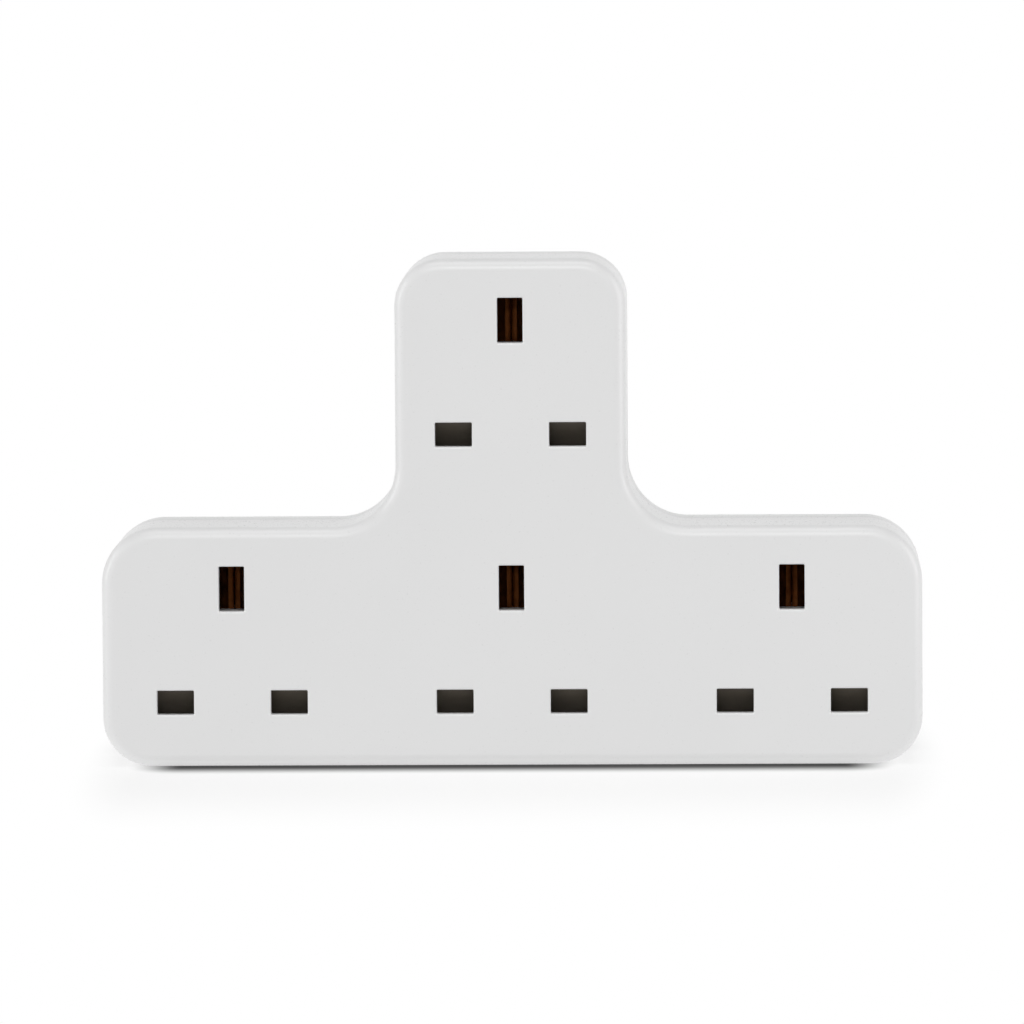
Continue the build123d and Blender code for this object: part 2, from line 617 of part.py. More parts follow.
# Neutral busbar: a rail above the contacts with a leg to each, and a riser to the top outlet
with BuildPart() as neutral_busbar:
    with BuildSketch(at_depth(NEUTRAL_LAYER)):
        with Locations((-HALF_GAUGE, ROW_Z + NEUTRAL_BAR_LIFT)):
            Rectangle(2 * OUTLET_PITCH + BAR_WIDTH, BAR_WIDTH)
        for x, z in (OUTLETS["left"], OUTLETS["middle"], OUTLETS["right"]):
            with Locations((x - HALF_GAUGE, z - BAR_WIDTH / 2)):
                Rectangle(BAR_WIDTH, NEUTRAL_BAR_LIFT + BAR_WIDTH / 2, align=(Align.CENTER, Align.MIN))
        with Locations((-HALF_GAUGE, ROW_Z)):
            Rectangle(BAR_WIDTH, OUTLET_RISE + BAR_WIDTH / 2, align=(Align.CENTER, Align.MIN))
        with Locations((-HALF_GAUGE, PLUG_Z)):
            Rectangle(TENON_HOLE, TENON_HOLE, mode=Mode.SUBTRACT)
    extrude(amount=-BAR_SHEET)
finish(neutral_busbar, "neutral_busbar")


# Line busbar: a rail straight behind the row and a riser to the top outlet
with BuildPart() as line_busbar:
    with BuildSketch(at_depth(LINE_LAYER)):
        with Locations((HALF_GAUGE, ROW_Z)):
            Rectangle(2 * OUTLET_PITCH + BAR_WIDTH, BAR_WIDTH)
        with Locations((HALF_GAUGE, ROW_Z)):
            Rectangle(BAR_WIDTH, OUTLET_RISE + BAR_WIDTH / 2, align=(Align.CENTER, Align.MIN))
    extrude(amount=-BAR_SHEET)
finish(line_busbar, "line_busbar")


# Earth busbar: a rail behind the earth row and a riser to the top outlet
with BuildPart() as earth_busbar:
    with BuildSketch(at_depth(EARTH_LAYER)):
        with Locations((0, ROW_Z + PIN_GAUGE)):
            Rectangle(2 * OUTLET_PITCH + BAR_WIDTH, BAR_WIDTH)
        with Locations((0, ROW_Z + PIN_GAUGE)):
            Rectangle(BAR_WIDTH, OUTLET_RISE + BAR_WIDTH / 2, align=(Align.CENTER, Align.MIN))
        with Locations((0, PLUG_EARTH_Z)):
            Rectangle(TENON_HOLE, TENON_HOLE, mode=Mode.SUBTRACT)
    extrude(amount=-BAR_SHEET)
finish(earth_busbar, "earth_busbar")


def plug_pin(x, z, width, height, reach, root, sheet):
    """One plug pin: a bar with a bevelled tip, a collar behind the wall and a staked tenon."""
    with BuildPart() as pin:
        with BuildSketch(at_depth(root)):
            with Locations((x, z)):
                Rectangle(width, height)
        extrude(amount=root - PLUG_FACE - reach)
        chamfer(pin.faces().sort_by(Axis.Y)[-1].edges(), PIN_TIP_CHAMFER)
        with BuildSketch(at_depth(PLUG_INNER)):
            with Locations((x, z)):
                Rectangle(width + 2 * COLLAR_LIP, height + 2 * COLLAR_LIP)
        extrude(amount=COLLAR_THICKNESS)
        with BuildSketch(at_depth(root)):
            with Locations((x, z)):
                Rectangle(TENON, TENON)
        extrude(amount=sheet + TENON_PROUD)
    return pin


# Plug pins: earth and neutral are staked to their busbars, line to the strap of the fuse clip
earth_pin = plug_pin(
    0,
    PLUG_EARTH_Z,
    PIN_THICKNESS,
    EARTH_PIN_WIDTH,
    EARTH_PIN_REACH,
    EARTH_LAYER + BAR_SHEET,
    BAR_SHEET,
)
finish(earth_pin, "earth_pin")

for pole, x, root, sheet in (
    ("neutral", -HALF_GAUGE, NEUTRAL_LAYER + BAR_SHEET, BAR_SHEET),
    ("line", HALF_GAUGE, CLIP_BACK, CLIP_SHEET),
):
    with BuildPart() as pin_sleeve:
        with BuildSketch(at_depth(PLUG_FACE + SLEEVE_REACH)):
            with Locations((x, PLUG_Z)):
                Rectangle(LIVE_PIN_WIDTH, PIN_THICKNESS)
            offset(amount=-SLEEVE_THICKNESS, kind=Kind.INTERSECTION, mode=Mode.SUBTRACT)
        extrude(amount=SLEEVE_REACH + SLEEVE_ROOT)
    finish(pin_sleeve, f"{pole}_pin_sleeve")
    with BuildPart() as live_pin:
        add(plug_pin(x, PLUG_Z, LIVE_PIN_WIDTH, PIN_THICKNESS, LIVE_PIN_REACH, root, sheet).part)
        add(pin_sleeve.part, mode=Mode.SUBTRACT)
    finish(live_pin, f"{pole}_pin")


def fuse_jaw(x):
    """U of one fuse clip: a flat base and two straight arms that open backwards."""
    with BuildPart() as jaw:
        with BuildSketch(Plane.YZ.offset(x)):
            with Locations((y_at(CLIP_FRONT), FUSE_Z)):
                Rectangle(
                    FUSE_DEPTH + CLIP_ARM_PAST_AXIS - CLIP_FRONT,
                    2 * (CLIP_GRIP + CLIP_SHEET),
                    align=(Align.MIN, Align.CENTER),
                )
            with Locations((y_at(CLIP_BACK), FUSE_Z)):
                Rectangle(
                    FUSE_DEPTH + CLIP_ARM_PAST_AXIS - CLIP_BACK,
                    2 * CLIP_GRIP,
                    align=(Align.MIN, Align.CENTER),
                    mode=Mode.SUBTRACT,
                )
        extrude(amount=CLIP_WIDTH / 2, both=True)
    return jaw


# Supply clip: its strap runs below the fuse to the line pin
with BuildPart() as fuse_clip_supply:
    add(fuse_jaw(-CLIP_X).part)
    with BuildSketch(at_depth(CLIP_FRONT)):
        with Locations((-CLIP_X, STRAP_TOP - STRAP_WIDTH)):
            Rectangle(CLIP_WIDTH, FUSE_Z - STRAP_TOP + STRAP_WIDTH, align=(Align.CENTER, Align.MIN))
        with Locations((-CLIP_X - CLIP_WIDTH / 2, STRAP_TOP)):
            Rectangle(
                CLIP_X + CLIP_WIDTH / 2 + HALF_GAUGE + BAR_WIDTH / 2,
                STRAP_WIDTH,
                align=(Align.MIN, Align.MAX),
            )
        with Locations((HALF_GAUGE, STRAP_TOP)):
            Rectangle(BAR_WIDTH, STRAP_TOP - PLUG_Z + BAR_WIDTH / 2, align=(Align.CENTER, Align.MAX))
        with Locations((HALF_GAUGE, PLUG_Z)):
            Rectangle(TENON_HOLE, TENON_HOLE, mode=Mode.SUBTRACT)
    extrude(amount=-CLIP_SHEET)
finish(fuse_clip_supply, "fuse_clip_supply")


# Load clip: its tail turns forwards past the earth rail to a foot on the line riser
with BuildPart() as fuse_clip_load:
    add(fuse_jaw(CLIP_X).part)
    with BuildSketch(Plane.YZ.offset(CLIP_X)):
        with BuildLine():
            Polyline(
                (y_at(CLIP_FRONT + CLIP_SHEET / 2), FUSE_Z),
                (y_at(CLIP_FRONT + CLIP_SHEET / 2), FOOT_Z),
                (y_at(LINE_LAYER + BAR_SHEET + CLIP_SHEET / 2), FOOT_Z),
                (y_at(LINE_LAYER + BAR_SHEET + CLIP_SHEET / 2), FOOT_Z + FOOT_LENGTH),
            )
        trace(line_width=CLIP_SHEET)
    extrude(amount=CLIP_WIDTH / 2, both=True)
finish(fuse_clip_load, "fuse_clip_load")


# Fuse: ceramic tube with two drawn end caps
with BuildPart() as fuse_tube:
    with BuildSketch(Plane.YZ.offset(-FUSE_LENGTH / 2 + FUSE_CAP_SHEET)):
        with Locations((y_at(FUSE_DEPTH), FUSE_Z)):
            Circle(FUSE_TUBE_R)
    extrude(amount=FUSE_LENGTH - 2 * FUSE_CAP_SHEET)
finish(fuse_tube, "fuse_tube")

for end, side in (("supply", -1), ("load", 1)):
    with BuildPart() as fuse_cap:
        with BuildSketch(Plane.YZ.offset(side * FUSE_LENGTH / 2)):
            with Locations((y_at(FUSE_DEPTH), FUSE_Z)):
                Circle(FUSE_CAP_R)
        extrude(amount=-side * FUSE_CAP_LENGTH)
        with BuildSketch(Plane.YZ.offset(side * (FUSE_LENGTH / 2 - FUSE_CAP_SHEET))):
            with Locations((y_at(FUSE_DEPTH), FUSE_Z)):
                Circle(FUSE_TUBE_R)
        extrude(amount=-side * FUSE_CAP_LENGTH, mode=Mode.SUBTRACT)
    finish(fuse_cap, f"fuse_cap_{end}")


# Fuse carrier: flanged lid flush with the plug face, a prising notch and a cradle for the fuse
with BuildPart() as fuse_carrier:
    with BuildSketch(at_depth(PLUG_FACE)):
        with Locations((0, FUSE_Z)):
            Rectangle(CARRIER_WIDTH + 2 * CARRIER_FLANGE, CARRIER_HEIGHT + 2 * CARRIER_FLANGE)
    extrude(amount=FLANGE_THICKNESS)
    with BuildSketch(at_depth(PLUG_FACE)):
        with Locations((0, FUSE_Z)):
            Rectangle(CARRIER_WIDTH, CARRIER_HEIGHT)
    extrude(amount=BOSS_WALL)
    with BuildSketch(at_depth(PLUG_INNER)):
        with Locations((0, FUSE_Z)):
            Rectangle(CRADLE_WIDTH, CRADLE_HEIGHT)
    extrude(amount=PLUG_INNER - FUSE_DEPTH + CRADLE_WRAP)
    with BuildSketch(Plane.YZ.offset(-CRADLE_WIDTH / 2)):
        with Locations((y_at(FUSE_DEPTH), FUSE_Z)):
            Circle(CRADLE_R)
    extrude(amount=CRADLE_WIDTH, mode=Mode.SUBTRACT)
    with BuildSketch(at_depth(PLUG_FACE)):
        with Locations((0, FUSE_Z - CARRIER_HEIGHT / 2 - CARRIER_FLANGE)):
            Rectangle(NOTCH_WIDTH, NOTCH_HEIGHT, align=(Align.CENTER, Align.MIN))
    extrude(amount=NOTCH_DEPTH, mode=Mode.SUBTRACT)
finish(fuse_carrier, "fuse_carrier")
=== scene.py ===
"""Looks of a four-way mains adapter: an inverted T of white ABS with shuttered outlets and a fused plug.

The frame is in metres: +X is right, +Z is up, the outlets face -Y and the plug pins point along +Y.
Sizes in the classes and points of their surfaces are millimetres, and a depth is measured back from
the outlet face.
"""

import json
import logging
from dataclasses import dataclass
from enum import Enum
from math import cos, pi, radians, sin
from typing import Any

import bmesh
import bpy
import numpy as np
from mathutils import Matrix, Vector
from mathutils.geometry import tessellate_polygon


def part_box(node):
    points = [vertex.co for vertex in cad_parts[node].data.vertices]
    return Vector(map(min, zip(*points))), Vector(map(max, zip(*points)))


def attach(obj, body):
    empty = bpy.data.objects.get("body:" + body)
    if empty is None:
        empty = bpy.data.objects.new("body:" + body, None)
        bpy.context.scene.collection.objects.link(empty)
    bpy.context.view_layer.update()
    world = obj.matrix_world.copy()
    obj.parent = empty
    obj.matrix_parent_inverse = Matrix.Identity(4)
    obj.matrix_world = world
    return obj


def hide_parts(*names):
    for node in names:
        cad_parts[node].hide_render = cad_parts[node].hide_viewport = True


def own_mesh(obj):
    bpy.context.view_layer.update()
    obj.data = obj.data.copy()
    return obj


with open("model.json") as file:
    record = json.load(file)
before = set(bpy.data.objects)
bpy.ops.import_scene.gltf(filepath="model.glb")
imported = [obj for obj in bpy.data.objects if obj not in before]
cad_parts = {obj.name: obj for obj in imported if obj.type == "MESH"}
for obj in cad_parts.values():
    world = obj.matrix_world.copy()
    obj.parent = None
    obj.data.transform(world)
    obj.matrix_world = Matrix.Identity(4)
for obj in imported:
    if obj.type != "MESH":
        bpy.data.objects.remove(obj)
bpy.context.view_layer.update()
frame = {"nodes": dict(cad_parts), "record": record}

Pair = tuple[float, float]
TwoArrays = tuple[np.ndarray, np.ndarray]
Piece = bpy.types.Object
NodeTree = bpy.types.NodeTree
Socket = bpy.types.NodeSocket

log = logging.getLogger("adapter")
MM = 0.001
FACE_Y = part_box("front_cover")[0].y / MM
OUTLETS = ("left", "middle", "right", "top")
# Points nearer to each other than this are one point, in metres
WELD = 0.002 * MM
# Angle between two faces up to which they are one flat face
FLAT_ANGLE = radians(1.0)
# Angle above which a copy's edge is rounded, and the straight runs across the round
ROUNDED_ANGLE = radians(30.0)
ROUNDED_RUNS = 3
# Angle above which an edge that isn't rounded is shaded crisp
CRISP_ANGLE = radians(40.0)


class Along(Enum):
    """Direction that a metal was drawn or rolled in, as the share of detail kept on each axis."""

    X = (0.04, 1.0, 1.0)
    Y = (1.0, 0.04, 1.0)
    Z = (1.0, 1.0, 0.04)


class Ends(Enum):
    """What a surface of rings has past its first and its last ring."""

    OPEN = "nothing, because other surfaces meet it there"
    LIDS = "a flat face on each"
    JOINED = "the two joined to each other"


class Facing(Enum):
    """Axis along which the two leaves of a contact face each other, as its number in the frame."""

    ACROSS = 0
    UPWARD = 2


def linear(colour: str) -> tuple[float, float, float, float]:
    """Turn an sRGB hex colour into linear red, green and blue, with full alpha.

    Args:
        colour: A hash sign and six hex digits.

    Returns:
        Red, green, blue and alpha.
    """
    share = np.array([int(colour[i : i + 2], 16) for i in (1, 3, 5)]) / 255
    light = np.where(share <= 0.04045, share / 12.92, ((share + 0.055) / 1.055) ** 2.4)
    return (*light.tolist(), 1.0)


def per_metre(size_mm: float) -> float:
    """Noise scale that gives features of a size in millimetres on metre coordinates."""
    return 1 / (size_mm * MM)


def add_node(
    tree: NodeTree,
    kind: str,
    settings: dict[str | int, Any] | None = None,
    links: dict[str | int, Socket] | None = None,
) -> bpy.types.Node:
    """Add one node with its settings and links.

    Args:
        tree: Node tree that takes the node.
        kind: Blender's name for the node's type.
        settings: Properties of the node, or else values of its inputs, by name or number.
        links: Output sockets to join to the node's inputs, by the input's name or number.

    Returns:
        The new node.
    """
    node = tree.nodes.new(kind)
    for key, value in (settings or {}).items():
        if isinstance(key, str) and hasattr(node, key):
            setattr(node, key, value)
        else:
            node.inputs[key].default_value = value
    for key, source in (links or {}).items():
        tree.links.new(source, node.inputs[key])
    return node


@dataclass(frozen=True, kw_only=True)
class Finish:
    """A surface named for what it is and how it was made. A subclass gives its pattern.

    Attributes:
        name: What the material is and how it was made.
        colour: Main colour.
        second: Colour of its clouds, blotches, crystals or specks.
        roughness: Lowest and highest roughness.
        tone_span: Tones of the pattern at which the second colour starts, and is full.
        grain_span: Grains of the pattern at which the roughness is lowest, and highest.
        relief_mm: Height of the grain, 0 where it has none to show.
        metallic: 1 for a metal, or else 0.
    """

    name: str
    colour: str
    second: str
    roughness: Pair
    tone_span: Pair = (0.0, 1.0)
    grain_span: Pair = (0.0, 1.0)
    relief_mm: float = 0.0
    metallic: float = 0.0

    def pattern(self, tree: NodeTree, place: Socket) -> tuple[Socket, Socket]:
        """Add the nodes of the pattern, and give its tone and its grain."""
        raise NotImplementedError

    def lay(self, tree: NodeTree) -> None:
        """Let the tone mix the two colours, and let the grain set the roughness and lift the surface.

        Args:
            tree: Node tree of the material, with its shader in place.
        """
        shader = tree.nodes["Principled BSDF"]
        shader.inputs["Metallic"].default_value = self.metallic
        tone, grain = self.pattern(tree, add_node(tree, "ShaderNodeTexCoord").outputs["Object"])
        share = add_node(
            tree,
            "ShaderNodeMapRange",
            {"From Min": self.tone_span[0], "From Max": self.tone_span[1]},
            {"Value": tone},
        )
        tint = add_node(
            tree,
            "ShaderNodeMix",
            {"data_type": "RGBA", 6: linear(self.colour), 7: linear(self.second)},
            {0: share.outputs[0]},
        )
        gloss = add_node(
            tree,
            "ShaderNodeMapRange",
            {
                "From Min": self.grain_span[0],
                "From Max": self.grain_span[1],
                "To Min": self.roughness[0],
                "To Max": self.roughness[1],
            },
            {"Value": grain},
        )
        tree.links.new(tint.outputs[2], shader.inputs["Base Color"])
        tree.links.new(gloss.outputs[0], shader.inputs["Roughness"])
        if self.relief_mm > 0:
            relief = add_node(tree, "ShaderNodeBump", {"Distance": self.relief_mm * MM}, {"Height": grain})
            tree.links.new(relief.outputs[0], shader.inputs["Normal"])

    def dress(self, piece: Piece) -> None:
        """Make this finish the only one of a piece, with its material made on first use.

        Args:
            piece: Piece to dress.
        """
        material = bpy.data.materials.get(self.name)
        if material is None:
            material = bpy.data.materials.new(self.name)
            material.use_nodes = True
            self.lay(material.node_tree)
        piece.data.materials.clear()
        piece.data.materials.append(material)


@dataclass(frozen=True, kw_only=True)
class MouldedPlastic(Finish):
    """Injection-moulded plastic: an even colour with faint flow clouds and the mould's fine spark grain.

    Attributes:
        cloud_mm: Size of a flow cloud.
        grain_mm: Size of the mould's grain, drawn as coarse as it needs to show.
    """

    cloud_mm: float
    grain_mm: float
    grain_span: Pair = (0.3, 0.7)

    def pattern(self, tree: NodeTree, place: Socket) -> tuple[Socket, Socket]:
        """Give the clouds as the tone and the mould's grain as the grain, both plain noise.

        Args:
            tree: Node tree of the material.
            place: Place on the object.

        Returns:
            The tone and the grain.
        """
        clouds, grain = (
            add_node(
                tree, "ShaderNodeTexNoise", {"Scale": per_metre(size), "Detail": detail}, {"Vector": place}
            )
            for size, detail in ((self.cloud_mm, 3.0), (self.grain_mm, 2.0))
        )
        return clouds.outputs[0], grain.outputs[0]


@dataclass(frozen=True, kw_only=True)
class DrawnMetal(Finish):
    """Bar, strip or wire, drawn or rolled: fine lines along its length, under blotches of tarnish.

    Attributes:
        blotch_mm: Size of a blotch.
        line_mm: Spacing of the drawing lines, drawn as coarse as it needs to show.
        along: Direction of the lines.
    """

    blotch_mm: float
    line_mm: float
    along: Along
    tone_span: Pair = (0.4, 0.75)
    grain_span: Pair = (0.3, 0.7)
    metallic: float = 1.0

    def pattern(self, tree: NodeTree, place: Socket) -> tuple[Socket, Socket]:
        """Give the blotches as the tone, and noise drawn out along the metal as the grain.

        Args:
            tree: Node tree of the material.
            place: Place on the object.

        Returns:
            The tone and the grain.
        """
        drawn = add_node(tree, "ShaderNodeMapping", {"Scale": self.along.value}, {"Vector": place}).outputs[0]
        blotches, lines = (
            add_node(
                tree, "ShaderNodeTexNoise", {"Scale": per_metre(size), "Detail": detail}, {"Vector": spot}
            )
            for size, detail, spot in ((self.blotch_mm, 4.0, place), (self.line_mm, 2.0, drawn))
        )
        return blotches.outputs[0], lines.outputs[0]


@dataclass(frozen=True, kw_only=True)
class PlatedMetal(Finish):
    """Metal plated in a barrel: a bright skin of small crystals that differ a little in tone and gloss.

    Attributes:
        crystal_mm: Size of a crystal, drawn as coarse as it needs to show.
    """

    crystal_mm: float
    metallic: float = 1.0

    def pattern(self, tree: NodeTree, place: Socket) -> tuple[Socket, Socket]:
        """Give each crystal's chance red as the tone and its chance green as the grain.

        Args:
            tree: Node tree of the material.
            place: Place on the object.

        Returns:
            The tone and the grain.
        """
        scale = per_metre(self.crystal_mm)
        crystals = add_node(tree, "ShaderNodeTexVoronoi", {"Scale": scale}, {"Vector": place})
        chance = add_node(tree, "ShaderNodeSeparateColor", {}, {0: crystals.outputs["Color"]})
        return chance.outputs[0], chance.outputs[1]


@dataclass(frozen=True, kw_only=True)
class FiredCeramic(Finish):
    """Unglazed fired ceramic: off-white and dull, with small darker specks and a sandy touch.

    Attributes:
        speck_mm: Size of a speck.
    """

    speck_mm: float
    tone_span: Pair = (0.58, 0.72)

    def pattern(self, tree: NodeTree, place: Socket) -> tuple[Socket, Socket]:
        """Give one noise as both, so that the specks stand where the grit is highest.

        Args:
            tree: Node tree of the material.
            place: Place on the object.

        Returns:
            The tone and the grain.
        """
        settings = {"Scale": per_metre(self.speck_mm), "Detail": 3.0}
        grit = add_node(tree, "ShaderNodeTexNoise", settings, {"Vector": place}).outputs[0]
        return grit, grit


FINISHES: dict[str, Finish] = {
    # White ABS from a spark-eroded mould: satin, nearly neutral, broad soft highlights on its round edges
    "housing": MouldedPlastic(
        name="abs_moulded_satin_white",
        colour="#E4E4E4",
        second="#E1E1E1",
        cloud_mm=26.0,
        grain_mm=0.5,
        relief_mm=0.002,
        roughness=(0.27, 0.33),
    ),
    # Dark grey nylon: dull with a warm cast, so that the closed shutter reads as a shadowed ramp
    "shutter": MouldedPlastic(
        name="nylon_moulded_dark_grey",
        colour="#564F44",
        second="#4E473D",
        cloud_mm=4.0,
        grain_mm=0.3,
        relief_mm=0.006,
        roughness=(0.45, 0.6),
    ),
    # Black polycarbonate plate: keeps the depth behind the slots dark
    "retainer": MouldedPlastic(
        name="polycarbonate_moulded_black",
        colour="#191919",
        second="#141414",
        cloud_mm=5.0,
        grain_mm=0.3,
        relief_mm=0.005,
        roughness=(0.5, 0.65),
    ),
    # Black insulating sleeve, moulded on the pin: softer and duller than the housing
    "pin_sleeve": MouldedPlastic(
        name="nylon_moulded_black_sleeve",
        colour="#1D1D1E",
        second="#232324",
        cloud_mm=3.0,
        grain_mm=0.25,
        relief_mm=0.006,
        roughness=(0.48, 0.62),
    ),
    # Brass bar, drawn and tumbled: yellow, with faint lengthwise lines and a light brown haze
    "pin_brass": DrawnMetal(
        name="brass_drawn_tumbled",
        colour="#D9B873",
        second="#C29A55",
        blotch_mm=5.0,
        line_mm=0.25,
        relief_mm=0.004,
        along=Along.Y,
        roughness=(0.2, 0.34),
    ),
    # Brass strip as it leaves the rolls: a little redder and duller than the pins
    "busbar_brass": DrawnMetal(
        name="brass_rolled_strip",
        colour="#CDA863",
        second="#A67F45",
        blotch_mm=9.0,
        line_mm=0.3,
        relief_mm=0.003,
        along=Along.X,
        roughness=(0.28, 0.42),
    ),
    # Phosphor bronze strip, pressed to shape: coppery brown, darker where it has tarnished
    "contact_bronze": DrawnMetal(
        name="phosphor_bronze_pressed_strip",
        colour="#9A5E33",
        second="#6E3D1E",
        blotch_mm=3.0,
        line_mm=0.2,
        relief_mm=0.003,
        along=Along.Y,
        roughness=(0.66, 0.78),
    ),
    # Spring steel wire, drawn: grey and fairly bright
    "spring_steel": DrawnMetal(
        name="spring_steel_drawn_wire",
        colour="#C4C4C6",
        second="#8F8E8C",
        blotch_mm=1.5,
        line_mm=0.15,
        relief_mm=0.002,
        along=Along.Z,
        roughness=(0.22, 0.36),
    ),
    # Zinc plate from a barrel: pale grey with a blue and yellow shimmer between crystals
    "screw_steel": PlatedMetal(
        name="zinc_barrel_plated_steel",
        colour="#CBCDD0",
        second="#C6C2B4",
        crystal_mm=0.35,
        roughness=(0.24, 0.4),
    ),
    # Nickel plate on drawn caps: a warm silver, smoother than zinc
    "fuse_cap": PlatedMetal(
        name="nickel_plated_drawn_brass",
        colour="#D6D1C6",
        second="#CFC9BC",
        crystal_mm=0.5,
        roughness=(0.14, 0.24),
    ),
    # Steatite tube, fired without glaze: creamy white and chalky
    "fuse_ceramic": FiredCeramic(
        name="steatite_fired_unglazed",
        colour="#EBE6DA",
        second="#CFC7B6",
        speck_mm=0.4,
        relief_mm=0.01,
        roughness=(0.6, 0.8),
    ),
}


def full_turn(count: int) -> np.ndarray:
    """Angles of points spaced evenly round a circle, in radians."""
    return np.linspace(0, 2 * pi, count, endpoint=False)


def stand(flat: np.ndarray, depths: np.ndarray) -> np.ndarray:
    """Stand flat rings up in the frame, each at its own depth.

    Args:
        flat: (rings, points, 2) places, x right and z up.
        depths: (rings,) distances behind the outlet face.

    Returns:
        (rings, points, 3) places.
    """
    deep = np.broadcast_to(np.asarray(depths)[:, None] + FACE_Y, flat.shape[:2])
    return np.stack([flat[..., 0], deep, flat[..., 1]], axis=-1)


def round_edge(radius: float, steps: int) -> np.ndarray:
    """Section of a round edge or corner between a wall and a face: a quarter circle.

    Args:
        radius: Radius of the edge.
        steps: Straight runs in the quarter.

    Returns:
        (steps + 1, 2) distances from the wall and from the face, starting on the wall.
    """
    angle = np.linspace(0, pi / 2, steps + 1)
    return radius * np.stack([1 - np.cos(angle), 1 - np.sin(angle)], axis=1)


def circles(x: float, z: float, radii: np.ndarray, count: int = 48) -> np.ndarray:
    """Circles about one centre: (rings, points, 2), the centre plus radius times (cosine, sine)."""
    ring = np.stack([np.cos(full_turn(count)), np.sin(full_turn(count))], axis=-1)
    return np.array([x, z]) + np.asarray(radii)[:, None, None] * ring


def rectangles(
    x: float, z: float, widths: np.ndarray, heights: np.ndarray, radii: np.ndarray, steps: int = 5
) -> np.ndarray:
    """Rounded rectangles about one centre, each of four quarter circles about its corners' own centres.

    Args:
        x: Centre to the right.
        z: Centre upwards.
        widths: (rings,) widths, or one for all, as with the next two.
        heights: (rings,) heights.
        radii: (rings,) corner radii.
        steps: Straight runs in each corner.

    Returns:
        (rings, 4 * (steps + 1), 2) places.
    """
    widths, heights, radii = np.broadcast_arrays(*map(np.atleast_1d, (widths, heights, radii)))
    angle = np.linspace(0, pi / 2, steps + 1) + np.arange(4)[:, None] * pi / 2
    side, level = np.array([1, -1, -1, 1]), np.array([1, 1, -1, -1])
    across = np.outer(widths / 2 - radii, side)[..., None] + radii[:, None, None] * np.cos(angle)
    upward = np.outer(heights / 2 - radii, level)[..., None] + radii[:, None, None] * np.sin(angle)
    return np.stack([x + across, z + upward], axis=-1).reshape(len(widths), -1, 2)


@dataclass(frozen=True)
class Outline:
    """A closed outline of straight runs and tangent arcs, which can be drawn at any inset.

    An arc is its centre plus the radius, turned from a start angle through a sweep. An inset shortens
    the radius of an outer corner and lengthens that of an inner one about the same centre, so every
    inset has the same points and the rings join into a wall.

    Attributes:
        centres: (corners, 2) arc centres.
        radii: (corners,) arc radii.
        starts: (corners,) angles in radians.
        sweeps: (corners,) angles in radians, positive for an outer corner.
    """

    centres: np.ndarray
    radii: np.ndarray
    starts: np.ndarray
    sweeps: np.ndarray

    @classmethod
    def mirrored(cls, half: list[tuple[float, float, float]]) -> "Outline":
        """Join one half of a polygon to its mirror image across the Z axis, and round the corners.

        A corner's arc starts its radius times the tangent of half the turn before the corner, and its
        centre is one radius to the side that the outline turns to.

        Args:
            half: Sharp corners of the first half in order, each x right, z up and its radius.

        Returns:
            The outline.
        """
        corners = np.vstack([half, np.array(half[::-1]) * (-1, 1, 1)])
        places, sizes = corners[:, :2], corners[:, 2]
        arriving = places - np.roll(places, 1, axis=0)
        heading = np.arctan2(arriving[:, 1], arriving[:, 0])
        sweeps = (np.roll(heading, -1) - heading + pi) % (2 * pi) - pi
        ahead = np.stack([np.cos(heading), np.sin(heading)], axis=1)
        leftward = np.stack([-ahead[:, 1], ahead[:, 0]], axis=1)
        turn = np.sign(sweeps)
        back = (sizes * np.tan(np.abs(sweeps) / 2))[:, None]
        centres = places - back * ahead + (turn * sizes)[:, None] * leftward
        return cls(centres, sizes, heading - turn * pi / 2, sweeps)

    def rings(self, insets: np.ndarray, steps: int) -> np.ndarray:
        """Draw the outline at each inset.

        Args:
            insets: (rings,) insets, negative to grow.
            steps: Straight runs in each corner.

        Returns:
            (rings, points, 2) places.
        """
        angle = self.starts[:, None] + self.sweeps[:, None] * np.linspace(0, 1, steps + 1)
        reach = self.radii - np.outer(insets, np.sign(self.sweeps))
        arm = np.stack([np.cos(angle), np.sin(angle)], axis=-1)
        places = self.centres[:, None] + reach[:, :, None, None] * arm
        return places.reshape(len(reach), -1, 2)


def put(name: str, data: Any) -> Piece:
    """Add an object for a mesh, a lamp or a camera to the scene.

    Args:
        name: The object's name.
        data: What the object shows.

    Returns:
        The object.
    """
    piece = bpy.data.objects.new(name, data)
    bpy.context.scene.collection.objects.link(piece)
    return piece


